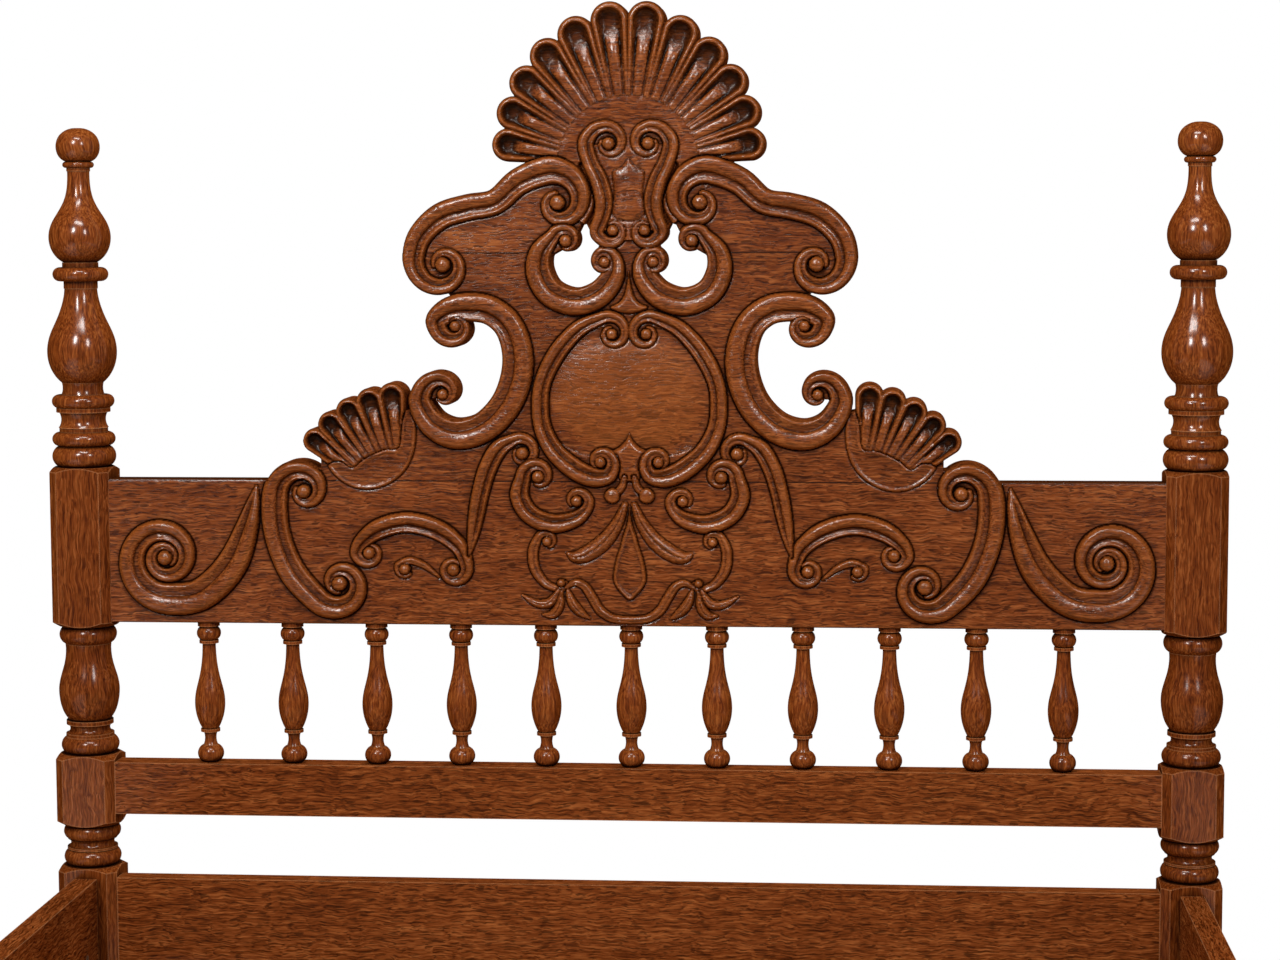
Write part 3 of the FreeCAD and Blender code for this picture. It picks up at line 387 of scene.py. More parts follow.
# ---- the relief
class Relief:
    """The carving on a grid: its heights over the board's face, and what lies where."""

    def __init__(self):
        levels = [BOARD_LOW, LOWER_SEAM, UPPER_SEAM, CREST_TOP + ROOM_ABOVE_CREST]
        rows = [np.linspace(low, high, round((high - low) / GRID_STEP) + 1)
                for low, high in zip(levels, levels[1:])]
        self.breaks = list(np.cumsum([0] + [len(r) - 1 for r in rows]))
        self.z = np.concatenate([r[:-1] for r in rows] + [rows[-1][-1:]])
        self.x = np.linspace(0, HALF_WIDTH, round(HALF_WIDTH / GRID_STEP) + 1)
        self.grid_x, self.grid_z = np.meshgrid(self.x, self.z)
        self.height = np.zeros_like(self.grid_x)
        # Where the wood is lighter, and where the shells' lobes are.
        self.warm = np.zeros_like(self.grid_x)
        self.lobes = np.zeros_like(self.grid_x)
        # How far each place is inside the carving, and inside the whole board.
        self.carved = np.full_like(self.grid_x, FAR_OUTSIDE)
        self.edge = self.carved.copy()

    def window(self, x0, x1, z0, z1):
        """The part of the grid inside a box."""
        rows = slice(*np.searchsorted(self.z, (z0, z1)))
        columns = slice(*np.searchsorted(self.x, (x0, x1)))
        return rows, columns

    def away(self, centre):
        """The distance from each place to one point."""
        return np.hypot(self.grid_x - centre[0], self.grid_z - centre[1])

    def across(self, line):
        """How a tapered line passes each place: offset over half width, half width, side, share."""
        ratio = np.full_like(self.grid_x, FAR_ACROSS)
        half = np.ones_like(self.grid_x)
        left = np.ones_like(self.grid_x)
        share = np.zeros_like(self.grid_x)
        last = len(line) - 1
        for i, (a, b) in enumerate(zip(line, line[1:])):
            reach = max(a[2], b[2]) / 2 + ROOM_ROUND_LINE
            part = self.window(min(a[0], b[0]) - reach, max(a[0], b[0]) + reach,
                               min(a[1], b[1]) - reach, max(a[1], b[1]) + reach)
            gx, gz = self.grid_x[part] - a[0], self.grid_z[part] - a[1]
            dx, dz = b[0] - a[0], b[1] - a[1]
            length = math.hypot(dx, dz)
            if length < NO_LENGTH or not gx.size:
                continue
            t = np.clip((gx * dx + gz * dz) / length ** 2, 0, 1)
            away = np.hypot(gx - t * dx, gz - t * dz)
            here = np.maximum((a[2] + (b[2] - a[2]) * t) / 2, LEAST_HALF_WIDTH)
            nearer = away / here < ratio[part]
            ratio[part][nearer] = (away / here)[nearer]
            half[part][nearer] = here[nearer]
            left[part][nearer] = np.sign(gz * dx - gx * dz)[nearer]
            share[part][nearer] = ((i + t) / last)[nearer]
        return ratio, half, left, share

    def inside(self, points):
        """The distance from each place to a closed outline, positive inside it."""
        corners = np.array(points, float)
        distance = np.full_like(self.grid_x, FAR_AWAY)
        odd = np.zeros(self.grid_x.shape, bool)
        for a, b in zip(corners, np.roll(corners, -1, axis=0)):
            gx, gz = self.grid_x - a[0], self.grid_z - a[1]
            dx, dz = b - a
            t = np.clip((gx * dx + gz * dz) / max(dx * dx + dz * dz, NO_SLOPE), 0, 1)
            distance = np.minimum(distance, np.hypot(gx - t * dx, gz - t * dz))
            crosses = (a[1] > self.grid_z) != (b[1] > self.grid_z)
            if crosses.any():
                at = a[0] + (self.grid_z - a[1]) / (dz or NO_SLOPE) * dx
                odd ^= crosses & (self.grid_x < at)
        return np.where(odd, distance, -distance)

    def score(self, outside):
        """Cuts a narrow groove round something, from the distance outside its edge."""
        near = np.clip(1 - outside / GROOVE_WIDTH, 0, 1)
        self.height -= np.where(outside > 0, GROOVE_DEPTH * near ** GROOVE_POWER, 0)

    def set(self, where, height):
        """Replaces the height in one area."""
        self.height = np.where(where, height, self.height)

    def add_outline(self, distance):
        """Takes something into the carving's outline, from the distance inside its edge."""
        self.carved = np.maximum(self.carved, distance)


def carve_band(relief, line, table, top=BAND_TOP):
    """Cuts a band along a line. The band's own height follows its width."""
    ratio, half, left, _ = relief.across(line)
    u = (1 - left * ratio) / 2
    rise = np.minimum(top, BAND_FOOT + BAND_RISE * 2 * half)
    shape = profile(table, u)
    if table is BAND_PROFILE:
        slim = np.clip((FULL_WIDTH - 2 * half) / (FULL_WIDTH - SLIM_WIDTH), 0, 1)
        shape = fade(shape, profile(SLIM_PROFILE, u), slim)
    relief.score((ratio - 1) * half)
    relief.set(ratio <= 1, rise * shape)
    return (1 - ratio) * half


def volute_reach(relief, volute, entry, turn):
    """The distance from each place to the outer edge of a volute's first turn, positive inside."""
    eye_x, eye_z, eye_radius, turns = volute
    start, first = volute_entry(volute, entry)
    angles = np.arctan2(relief.grid_z - eye_z, relief.grid_x - eye_x)
    share = np.mod(turn * (angles - first), 2 * math.pi) / (2 * math.pi)
    shrink = (eye_radius / start) ** (share / turns)
    return (start + entry[2] / 2) * shrink - relief.away((eye_x, eye_z))


def carve_scroll(relief, name):
    """Cuts a scroll: the sunk floor of its volutes, its band, and its eyes."""
    scroll = SCROLLS[name]
    floors = []
    for volute, entry, turn in scroll_ends(scroll):
        inside = volute_reach(relief, volute, entry, turn)
        relief.set(inside > VOLUTE_INSET, VOLUTE_FLOOR)
        floors.append(inside)
    body = carve_band(relief, scroll_line(scroll), BAND_PROFILE)
    for (x, z, radius, _), _, _ in scroll_ends(scroll):
        top = EYE_TOP if radius > SMALL_EYE_RADIUS else SMALL_EYE_TOP
        carve_ball(relief, (x, z), radius * EYE_SHARE, top)
    if name in OUTLINE_SCROLLS:
        relief.add_outline(np.maximum.reduce([body] + floors))


def carve_ball(relief, centre, radius, top):
    """Raises a round boss with a groove round it."""
    away = relief.away(centre)
    relief.score((away - radius) * BALL_GROOVE_SHARE)
    relief.set(away < radius, top * fade(BALL_FOOT_SHARE, 1.0, domed(away / radius)))


def carve_shell(relief, shell, rim_top):
    """Cuts the lobes of a shell: ridged rims round deep hollows, with a rib up from the root."""
    nearest = np.full_like(relief.grid_x, OFF_SHELL)
    rise = np.zeros_like(relief.grid_x)
    outline = np.full_like(relief.grid_x, OFF_SHELL)
    for i in range(shell["count"]):
        ratio, half, _, share = relief.across(lobe_line(shell, i))
        rim = rim_top * fade(RIM_AT_ROOT, 1.0, eased(share, *RIM_RISES))
        edge = np.clip((1 - ratio) / LOBE_EDGE, 0, 1)
        surface = rim * fade(RIM_FOOT, 1.0, rounded(edge))
        deep = rim * fade(HOLLOW_AT_ROOT, 1.0, eased(share, *HOLLOW_DEEPENS))
        surface -= deep * domed(ratio / LOBE_HOLLOW, HOLLOW_POWER)
        tall = deep * RIB_HEIGHT * (1 - eased(share, *RIB_SINKS))
        surface += tall * domed(ratio / LOBE_RIB)
        over = (-ratio > nearest) & (ratio <= 1)
        nearest = np.where(over, -ratio, nearest)
        rise = np.where(over, surface, rise)
        outline = np.maximum(outline, (1 - ratio) * half)
    relief.score(-outline)
    relief.set(outline > 0, rise)
    relief.lobes = np.where(outline > 0, 1.0, relief.lobes)
    relief.add_outline(outline)


def carve_plate(relief, points, top, slope, rim=0.0):
    """Raises a plate with a rounded edge, lower inside its rim if it has one."""
    distance = relief.inside(smooth_line(points + points[:1], PLATE_STEPS)[:-1])
    relief.score(-distance)
    rise = top * rounded(np.clip(distance / slope, 0, 1))
    rise -= rim * np.clip((distance - slope) / RIM_WALL, 0, 1)
    relief.set(distance > 0, rise)


def carve_field(relief):
    """The smooth cushion inside the medallion."""
    gx = np.abs(relief.grid_x - FIELD_CENTRE[0]) / FIELD_RADII[0]
    gz = np.abs(relief.grid_z - FIELD_CENTRE[1]) / FIELD_RADII[1]
    away = gx ** FIELD_POWER + gz ** FIELD_POWER
    dome = np.clip(1 - away, 0, 1) ** FIELD_DOME_POWER
    relief.set(away < FIELD_REACH, FIELD_FLOOR + FIELD_RISE * dome)
    relief.warm = np.clip(FIELD_WARM_SLOPE * (1 - away), 0, 1) * FIELD_WARMTH


def carve_crest(relief):
    """The shell at the top, with the round plate that its lobes grow from."""
    carve_shell(relief, CREST_SHELL, CREST_RIM_TOP)
    away = relief.away(CREST_SHELL["centre"])
    relief.set(away < CREST_BASE_RADIUS,
               CREST_BASE_FLOOR + CREST_BASE_RISE * eased(away, *CREST_BASE_SLOPE))


def carve_crevice(relief):
    """The deep cleft between the crest's scrolls."""
    ratio = relief.across(smooth_line(CREVICE))[0]
    deep = np.clip(1 - ratio, 0, 1)
    relief.height = relief.height * (1 - deep) - CREVICE_DEPTH * deep


def carve_all(relief):
    """Cuts everything, from the rearmost to the foremost."""
    relief.add_outline(np.minimum(relief.inside(MOUNTAIN), -relief.inside(WINDOW)))
    carve_crest(relief)
    carve_shell(relief, SIDE_SHELL, SIDE_RIM_TOP)
    carve_plate(relief, SIDE_BASE, **PLATE_CUTS["side_base"])
    carve_field(relief)
    for name in REAR_SCROLLS:
        carve_scroll(relief, name)
    carve_crevice(relief)
    carve_plate(relief, whole(FLEUR), **PLATE_CUTS["fleur"])
    carve_plate(relief, whole(PALMETTE), **PLATE_CUTS["palmette"])
    for name in FRONT_SCROLLS:
        carve_scroll(relief, name)
    for leaf in LEAVES + [STALK]:
        carve_band(relief, smooth_line(leaf), LEAF_PROFILE, LEAF_TOP)
    carve_band(relief, smooth_line(RIBBON), SLIM_PROFILE, RIBBON_TOP)
    drop_x, drop_z, drop_radius = DROP
    carve_ball(relief, (drop_x, drop_z), drop_radius, DROP_TOP)
    carve_plate(relief, whole(TEARDROP), **PLATE_CUTS["teardrop"])
    carve_plate(relief, whole(SHIELD), **PLATE_CUTS["shield"])


def finish_edges(relief):
    """Rounds the carving off towards its outline, and joins it to the straight lower board."""
    low = relief.grid_z - BOARD_LOW
    high = LOWER_SEAM - relief.grid_z
    straight = np.minimum(low + STRAIGHT_FOOT, high)
    relief.edge = np.maximum(relief.carved, straight)
    inside = np.maximum(relief.carved, straight * STRAIGHT_EDGE_SHARE)
    inside = np.where(relief.grid_z < LOWER_SEAM - CRISP_BELOW_SEAM, EDGE_ROUND, inside)
    drop = np.where(relief.carved > straight - STRAIGHT_LEAD, EDGE_DROP, STRAIGHT_DROP)
    cap = -drop + EDGE_TOP * rounded(np.clip(inside / EDGE_ROUND, 0, 1))
    relief.height = np.minimum(relief.height, cap)
    foot = np.sqrt(np.clip(low / FOOT_ROUND, 0, 1))
    relief.height = np.minimum(relief.height, -FOOT_DROP + FOOT_RISE * foot)


# ---- painted shade and highlight on the carving
def blur(values, weight, radius):
    """A blur that takes nothing from outside the carving."""
    reach = int(math.ceil(BLUR_REACH * radius / GRID_STEP))
    steps = np.arange(-reach, reach + 1) * GRID_STEP
    kernel = np.exp(-0.5 * (steps / radius) ** 2)

    def spread(field):
        for axis in (0, 1):
            pad = [(reach, reach) if axis == a else (0, 0) for a in (0, 1)]
            wide = np.pad(field, pad, mode="edge")
            total = np.zeros_like(field)
            for i, k in enumerate(kernel):
                part = [slice(None), slice(None)]
                part[axis] = slice(i, i + field.shape[axis])
                total += k * wide[tuple(part)]
            field = total
        return field

    return spread(values * weight) / np.maximum(spread(weight), NO_WEIGHT)


def counted(depth, full, share):
    """A depth as its share of the full one, from 0 to 1, times the share that it counts for."""
    return np.clip(depth / full, 0, 1) * share


def shade_and_highlight_maps(relief):
    """Painted shade in the hollows, a painted highlight on the crowns, and what is carved."""
    weight = (relief.edge > 0).astype(float)
    wide = blur(relief.height, weight, BLUR_WIDE) - relief.height
    fine = blur(relief.height, weight, BLUR_FINE) - relief.height
    broad = blur(relief.height, weight, BLUR_BROAD) - relief.height
    # Painted shade: darker where the relief lies under its blurred self, most in the shells'
    # hollows.
    hollow_shade = counted(wide, *WIDE_CAVITY) + counted(fine, *FINE_CAVITY)
    hollow_shade += counted(broad - LOBE_CAVITY_START, *LOBE_CAVITY) * relief.lobes
    hollow_shade *= np.clip(relief.edge / CAVITY_INSET, 0, 1)
    # Painted highlight: lighter where the relief stands over its blurred self. The map also holds
    # the medallion field's warmer tone.
    crown_highlight = counted(-wide, *WIDE_CROWN) + counted(-fine, *FINE_CROWN)
    worked = np.clip(np.abs(relief.height) / WORKED_HEIGHT, 0, 1)
    return {"hollow_shade": hollow_shade, "crown_highlight": np.maximum(crown_highlight, relief.warm), "worked": worked}


def sample(field, relief, x, z):
    """The field's value at each place, between the grid's places."""
    across = np.abs(x) / relief.x[-1] * (len(relief.x) - 1)
    across = np.clip(across, 0, len(relief.x) - GRID_END)
    up = np.interp(z, relief.z, np.arange(len(relief.z)))
    up = np.clip(up, 0, len(relief.z) - GRID_END)
    i, j = up.astype(int), across.astype(int)
    a, b = up - i, across - j
    return ((1 - a) * (1 - b) * field[i, j] + (1 - a) * b * field[i, j + 1]
            + a * (1 - b) * field[i + 1, j] + a * b * field[i + 1, j + 1])


def store_shade_and_highlight(mesh, relief, maps):
    """Stores the maps of painted shade and painted highlight on the front of a board."""
    places = np.zeros(len(mesh.vertices) * 3, np.float32)
    mesh.vertices.foreach_get("co", places)
    places = places.reshape(-1, 3).astype(float)
    x, z = places[:, 0] / MM, (places[:, 2] - RAIL_TOP) / MM
    faces_front = places[:, 1] < FRONT_Y + FRONT_DEPTH * MM
    for name, field in maps.items():
        values = np.where(faces_front, sample(field, relief, x, z), 0)
        layer = mesh.attributes.new(name, "FLOAT", "POINT")
        layer.data.foreach_set("value", values.astype(np.float32))


# ---- the carved boards
def mirrored(field):
    """Both halves of the board, from the right one."""
    return np.concatenate([field[:, :0:-1], field], axis=1)


class Board:
    """One carved board of the headboard, from the rows of the relief between two seams."""

    def __init__(self, relief, number):
        rows = slice(relief.breaks[number], relief.breaks[number + 1] + 1)
        self.z = relief.z[rows]
        self.x = np.concatenate([-relief.x[:0:-1], relief.x])
        self.edge = mirrored(relief.edge[rows])
        self.height = mirrored(relief.height[rows])

    def snapped(self, kept):
        """The grid with the places round its outline moved onto the outline."""
        px, pz = np.meshgrid(self.x, self.z)
        height = self.height.copy()
        count = np.zeros(px.shape, int)
        room = np.zeros(px.shape, int)
        for rows in (slice(None, -1), slice(1, None)):
            for columns in (slice(None, -1), slice(1, None)):
                count[rows, columns] += kept
                room[rows, columns] += 1
        ragged = (count > 0) & (count < room)
        slope_z, slope_x = np.gradient(self.edge, self.z, self.x)
        slope_z[[0, -1]] = 0
        steep = np.maximum(slope_x ** 2 + slope_z ** 2, LEAST_STEEPNESS)
        for places, slope in ((px, slope_x), (pz, slope_z)):
            move = np.clip(-self.edge * slope / steep, -MOST_SNAP, MOST_SNAP)
            places[ragged] += move[ragged]
        height[ragged] = np.minimum(height[ragged], -EDGE_DROP)
        return px, pz, height, count > 0

    def mesh(self, name):
        """The carved front, the walls round it and round the windows, and the flat back."""
        corners = (self.edge[:-1, :-1] + self.edge[1:, :-1] + self.edge[:-1, 1:]
                   + self.edge[1:, 1:])
        kept = corners > 0
        px, pz, height, used = self.snapped(kept)
        index = np.full(px.shape, -1)
        index[used] = np.arange(used.sum())
        front = np.stack([px[used] * MM, FRONT_Y - height[used] * MM,
                          RAIL_TOP + pz[used] * MM], axis=1)
        quads = np.stack([index[:-1, :-1][kept], index[:-1, 1:][kept], index[1:, 1:][kept],
                          index[1:, :-1][kept]], axis=1)
        edges = np.concatenate([np.stack([quads[:, i], quads[:, (i + 1) % 4]], axis=1)
                                for i in range(4)])
        size = len(front) + 1
        keys = edges[:, 0] * size + edges[:, 1]
        back_keys = edges[:, 1] * size + edges[:, 0]
        rim = edges[~np.isin(keys, back_keys)]
        rim_places = np.unique(rim)
        twin = np.full(len(front), -1)
        twin[rim_places] = len(front) + np.arange(len(rim_places))
        behind = front[rim_places].copy()
        behind[:, 1] = BOARD_BACK_Y
        walls = np.stack([rim[:, 1], rim[:, 0], twin[rim[:, 0]], twin[rim[:, 1]]], axis=1)
        mesh = bpy.data.meshes.new(name)
        mesh.from_pydata(np.vstack([front, behind]).tolist(), [],
                         np.vstack([quads, walls]).tolist())
        close_back(mesh)
        return mesh


def close_back(mesh):
    """Fills the flat back, round the windows, and makes every face look outwards."""
    work = bmesh.new()
    work.from_mesh(mesh)
    open_edges = [e for e in work.edges if len(e.link_faces) == 1]
    bmesh.ops.triangle_fill(work, edges=open_edges, use_beauty=False)
    bmesh.ops.recalc_face_normals(work, faces=work.faces)
    work.to_mesh(mesh)
    work.free()


def thinned(piece, most):
    """Takes away triangles where the surface is flat."""
    mesh = piece.data
    mesh.calc_loop_triangles()
    share = most / max(len(mesh.loop_triangles), 1)
    if share < 1:
        thin = piece.modifiers.new("thin", "DECIMATE")
        thin.ratio = share
        graph = bpy.context.evaluated_depsgraph_get()
        made = bpy.data.meshes.new_from_object(piece.evaluated_get(graph))
        piece.modifiers.clear()
        piece.data = made
        made.name = piece.name
    return piece.data


def link_object(name, data):
    """A new object in the scene."""
    made = bpy.data.objects.new(name, data)
    bpy.context.scene.collection.objects.link(made)
    return made


def smooth_shading(piece):
    """Smooth shading that keeps the sharp edges and the flat ground level."""
    piece.data.shade_smooth()
    piece.data.set_sharp_from_angle(angle=math.radians(SHARP_ANGLE))
    flats = piece.modifiers.new("flats", "WEIGHTED_NORMAL")
    flats.keep_sharp = True


def build_boards():
    """The three carved boards, in place of the flat-layered ones."""
    relief = Relief()
    carve_all(relief)
    finish_edges(relief)
    maps = shade_and_highlight_maps(relief)
    pieces = []
    for number, node in enumerate(BOARD_NODES):
        piece = link_object(node + "_carving", Board(relief, number).mesh(node))
        store_shade_and_highlight(thinned(piece, MOST_TRIANGLES), relief, maps)
        smooth_shading(piece)
        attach(piece, "root")
        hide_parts(node)
        pieces.append(piece)
    return pieces


# ---- nodes
class Nodes:
    """Short ways to add and join the nodes of a material or of the world."""

    def __init__(self, owner):
        owner.use_nodes = True
        self.owner = owner
        self.tree = owner.node_tree

    def add(self, kind, values=(), **settings):
        node = self.tree.nodes.new(kind)
        for key, value in settings.items():
            setattr(node, key, value)
        for key, value in dict(values).items():
            self.feed(node.inputs[key], value)
        return node

    def feed(self, socket, value):
        """Joins a socket to another node's output, or sets it to a plain value."""
        if isinstance(value, bpy.types.NodeSocket):
            self.tree.links.new(value, socket)
        else:
            socket.default_value = value

    def object_place(self):
        return self.add("ShaderNodeTexCoord").outputs["Object"]

    def maths(self, operation, a, b=0.0, clamp=False):
        node = self.add("ShaderNodeMath", {0: a, 1: b}, operation=operation, use_clamp=clamp)
        return node.outputs[0]

    def vector(self, operation, a, b, output=0):
        node = self.add("ShaderNodeVectorMath", {0: a, 1: b}, operation=operation)
        return node.outputs[output]

    def span(self, value, low, high, to_low=0.0, to_high=1.0):
        node = self.add("ShaderNodeMapRange", {"Value": value, "From Min": low, "From Max": high,
                                               "To Min": to_low, "To Max": to_high})
        return node.outputs[0]

    def mix(self, share, a, b):
        """Colour a with a share of colour b over it."""
        return self.add("ShaderNodeMix", {0: share, 6: a, 7: b}, data_type="RGBA").outputs[2]

    def mix_shader(self, share, a, b):
        return self.add("ShaderNodeMixShader", {0: share, 1: a, 2: b}).outputs[0]

    def noise(self, place, scale, detail=3.0, rough=0.55):
        node = self.add("ShaderNodeTexNoise", {"Vector": place, "Scale": scale, "Detail": detail,
                                               "Roughness": rough})
        return node.outputs["Fac"]

    def ramp(self, value, stops):
        """Colours by value, from pairs of a place and a colour."""
        node = self.add("ShaderNodeValToRGB", {"Fac": value})
        points = node.color_ramp.elements
        while len(points) < len(stops):
            points.new(0.5)
        for point, (place, colour) in zip(points, stops):
            point.position = place
            point.color = colour
        return node.outputs["Color"]

    def bump(self, height, strength, distance, **under):
        values = {"Height": height, "Strength": strength, "Distance": distance, **under}
        return self.add("ShaderNodeBump", values).outputs[0]


def new_material(name):
    """The nodes of a new material, and its shader's inputs."""
    n = Nodes(bpy.data.materials.new(name))
    return n, n.tree.nodes["Principled BSDF"].inputs


def linear(red, green, blue):
    """A colour as it shows on a screen, 0 to 255, as the shader's own numbers."""
    shares = [c / 255 for c in (red, green, blue)]
    return [s / 12.92 if s <= 0.04045 else ((s + 0.055) / 1.055) ** 2.4 for s in shares] + [1.0]


def wood_tones(**colours):
    """The colours of one wood's figure and pores, given as they show on a screen."""
    return {name: linear(*colour) for name, colour in colours.items()}


# ---- wood
X_AXIS, Y_AXIS, Z_AXIS = 0, 1, 2
WOOD = wood_tones(deep=(62, 25, 8), dark=(99, 46, 16), middle=(118, 59, 24), light=(152, 87, 43),
                  pore=(40, 15, 4))
TURNED = wood_tones(deep=(78, 33, 10), dark=(104, 48, 16), middle=(122, 60, 22),
                    light=(154, 88, 40), pore=(50, 19, 5))
POST = wood_tones(deep=(66, 27, 8), dark=(94, 42, 13), middle=(112, 54, 19), light=(142, 79, 36),
                  pore=(44, 16, 4))
PALE = wood_tones(deep=(150, 112, 70), dark=(178, 140, 94), middle=(196, 160, 114),
                  light=(212, 180, 136), pore=(120, 84, 50))
# Colours of the painted highlight on the crowns, also of the warmer medallion field; of painted
# shade in the hollows, also of the dark glue lines; and of the painted highlight along sharp edges.
CROWN_HIGHLIGHT_TONE = linear(156, 88, 36)
SHADE_AND_SEAM_TONE = linear(22, 7, 2)
EDGE_HIGHLIGHT_TONE = linear(196, 138, 92)

# Layers of the figure: how far each is squeezed along the grain, its scale, detail and
# roughness, and its share. Spans are the values where a change starts and ends.
FIGURE = {
    "drift": (0.25, 12.0, 2.0, 0.55, 0.13),
    "bands": (0.06, 130.0, 2.0, 0.5, 0.13),
    "streaks": (0.055, 340.0, 2.0, 0.5, 0.34),
    "flecks": (0.07, 560.0, 1.0, 0.5, 0.40),
}
FIGURE_SPAN = (0.36, 0.64)
TONE_PLACES = {"deep": 0.0, "dark": 0.30, "middle": 0.56, "light": 1.0}
PORES = (0.08, 640.0, 1.0, 0.5)
PORE_SPAN = (0.54, 0.62)
PORE_SHARE = 0.70
TURNED_PORE_SHARE = 0.40
SEED_SHARES = (1.0, 0.7, 1.3)
WANDER_SCALE = 26.0
WANDER_DETAIL = 2.0
WANDER = 0.012
STREAK_RISE = 0.25
# A bump's strength and its depth in metres.
GRAIN_BUMP = (0.22, 0.0004)
CUT_BUMP = (0.6, 0.0014)
CUT_SCALE = 105.0
CUT_DETAIL = 2.0
# How strong the painted highlight on the crowns and the painted shade in the hollows are.
CROWN_HIGHLIGHT_SHARE = 0.35
HOLLOW_SHADE_SHARE = 0.95
SEAM_HALF_WIDTH = 1.3
SEAM_CORE = 0.4
SEAM_SHARE = 0.85
SEAM_ON_CARVING = 0.3
# The painted highlight along sharp edges.
EDGE_HIGHLIGHT_RADIUS = 0.0022
EDGE_HIGHLIGHT_SPAN = (0.985, 0.90)
EDGE_HIGHLIGHT_SHARE = 0.5
# The painted shade from ambient occlusion in a turning's hollows.
HOLLOW_REACH = 0.022
HOLLOW_SPAN = (0.86, 0.36)
HOLLOW_SHARE = 0.95
BEVEL_SAMPLES = 4
HOLLOW_SAMPLES = 6
STREAK_SPAN = (0.3, 0.7)
ROUGHNESS = (0.42, 0.56)
GLAZE_SPAN = (0.10, 0.31)
DULL_SPAN = (0.1, 0.8)
DULL_SHARE = 0.25


def wood_places(n, seed):
    """Places in the wood, shifted by the seed, and the same with a little wander."""
    place = n.vector("ADD", n.object_place(), [seed * share for share in SEED_SHARES])
    wander = n.add("ShaderNodeTexNoise", {"Vector": place, "Scale": WANDER_SCALE,
                                          "Detail": WANDER_DETAIL})
    bent = n.vector("SUBTRACT", wander.outputs["Color"], (0.5, 0.5, 0.5))
    bent = n.vector("MULTIPLY", bent, (WANDER, WANDER, WANDER))
    return place, n.vector("ADD", place, bent)


def grain_noise(n, place, axis, along, scale, detail, rough):
    """A noise drawn out along the grain."""
    squeeze = [along if i == axis else 1.0 for i in range(3)]
    place = n.add("ShaderNodeMapping", {"Vector": place, "Scale": squeeze}).outputs[0]
    return n.noise(place, scale, detail, rough)


def grain(n, place, axis, tones, pore_share):
    """The colour of the wood's figure and pores, its streaks, and its raised grain."""
    layers = {}
    figure = 0.0
    for name, (*kind, share) in FIGURE.items():
        layers[name] = grain_noise(n, place, axis, *kind)
        figure = n.maths("ADD", figure, n.maths("MULTIPLY", layers[name], share))
    stops = [(at, tones[tone]) for tone, at in TONE_PLACES.items()]
    colour = n.ramp(n.span(figure, *FIGURE_SPAN), stops)
    pores = n.span(grain_noise(n, place, axis, *PORES), *PORE_SPAN)
    colour = n.mix(n.maths("MULTIPLY", pores, pore_share), colour, tones["pore"])
    streaks = layers["streaks"]
    raised = n.maths("SUBTRACT", n.maths("MULTIPLY", streaks, STREAK_RISE), pores)
    return colour, streaks, n.bump(raised, *GRAIN_BUMP)


def shade_highlight_and_seams(n, colour, hollow_shade, crown_highlight, worked):
    """A painted highlight on the crowns, painted shade in the hollows, and dark glue lines in the
    two glued seams.
    """
    # Painted highlight on the crowns, then painted shade in the hollows.
    colour = n.mix(n.maths("MULTIPLY", crown_highlight, CROWN_HIGHLIGHT_SHARE, clamp=True), colour, CROWN_HIGHLIGHT_TONE)
    colour = n.mix(n.maths("MULTIPLY", hollow_shade, HOLLOW_SHADE_SHARE, clamp=True), colour, SHADE_AND_SEAM_TONE)
    height = n.add("ShaderNodeSeparateXYZ", {0: n.object_place()}).outputs["Z"]
    for seam in (LOWER_SEAM, UPPER_SEAM):
        off = n.maths("ABSOLUTE", n.maths("SUBTRACT", height, RAIL_TOP + seam * MM))
        line = n.span(off, SEAM_CORE * SEAM_HALF_WIDTH * MM, SEAM_HALF_WIDTH * MM, SEAM_SHARE, 0.0)
        shown = n.span(worked, 0, 1, 1, SEAM_ON_CARVING)
        colour = n.mix(n.maths("MULTIPLY", line, shown), colour, SHADE_AND_SEAM_TONE)
    return colour


def highlight_edges(n, colour):
    """A painted highlight along sharp edges."""
    round_normal = n.add("ShaderNodeBevel", {"Radius": EDGE_HIGHLIGHT_RADIUS}, samples=BEVEL_SAMPLES)
    true_normal = n.add("ShaderNodeNewGeometry").outputs["True Normal"]
    level = n.vector("DOT_PRODUCT", round_normal.outputs[0], true_normal, "Value")
    return n.mix(n.span(level, *EDGE_HIGHLIGHT_SPAN, 0.0, EDGE_HIGHLIGHT_SHARE), colour, EDGE_HIGHLIGHT_TONE)


def shade_hollows(n, colour):
    """Painted shade, from ambient occlusion, in the narrow places of a turning."""
    hollow = n.add("ShaderNodeAmbientOcclusion", {"Distance": HOLLOW_REACH}, samples=HOLLOW_SAMPLES)
    return n.mix(n.span(hollow.outputs["AO"], *HOLLOW_SPAN, 0.0, HOLLOW_SHARE), colour, SHADE_AND_SEAM_TONE)


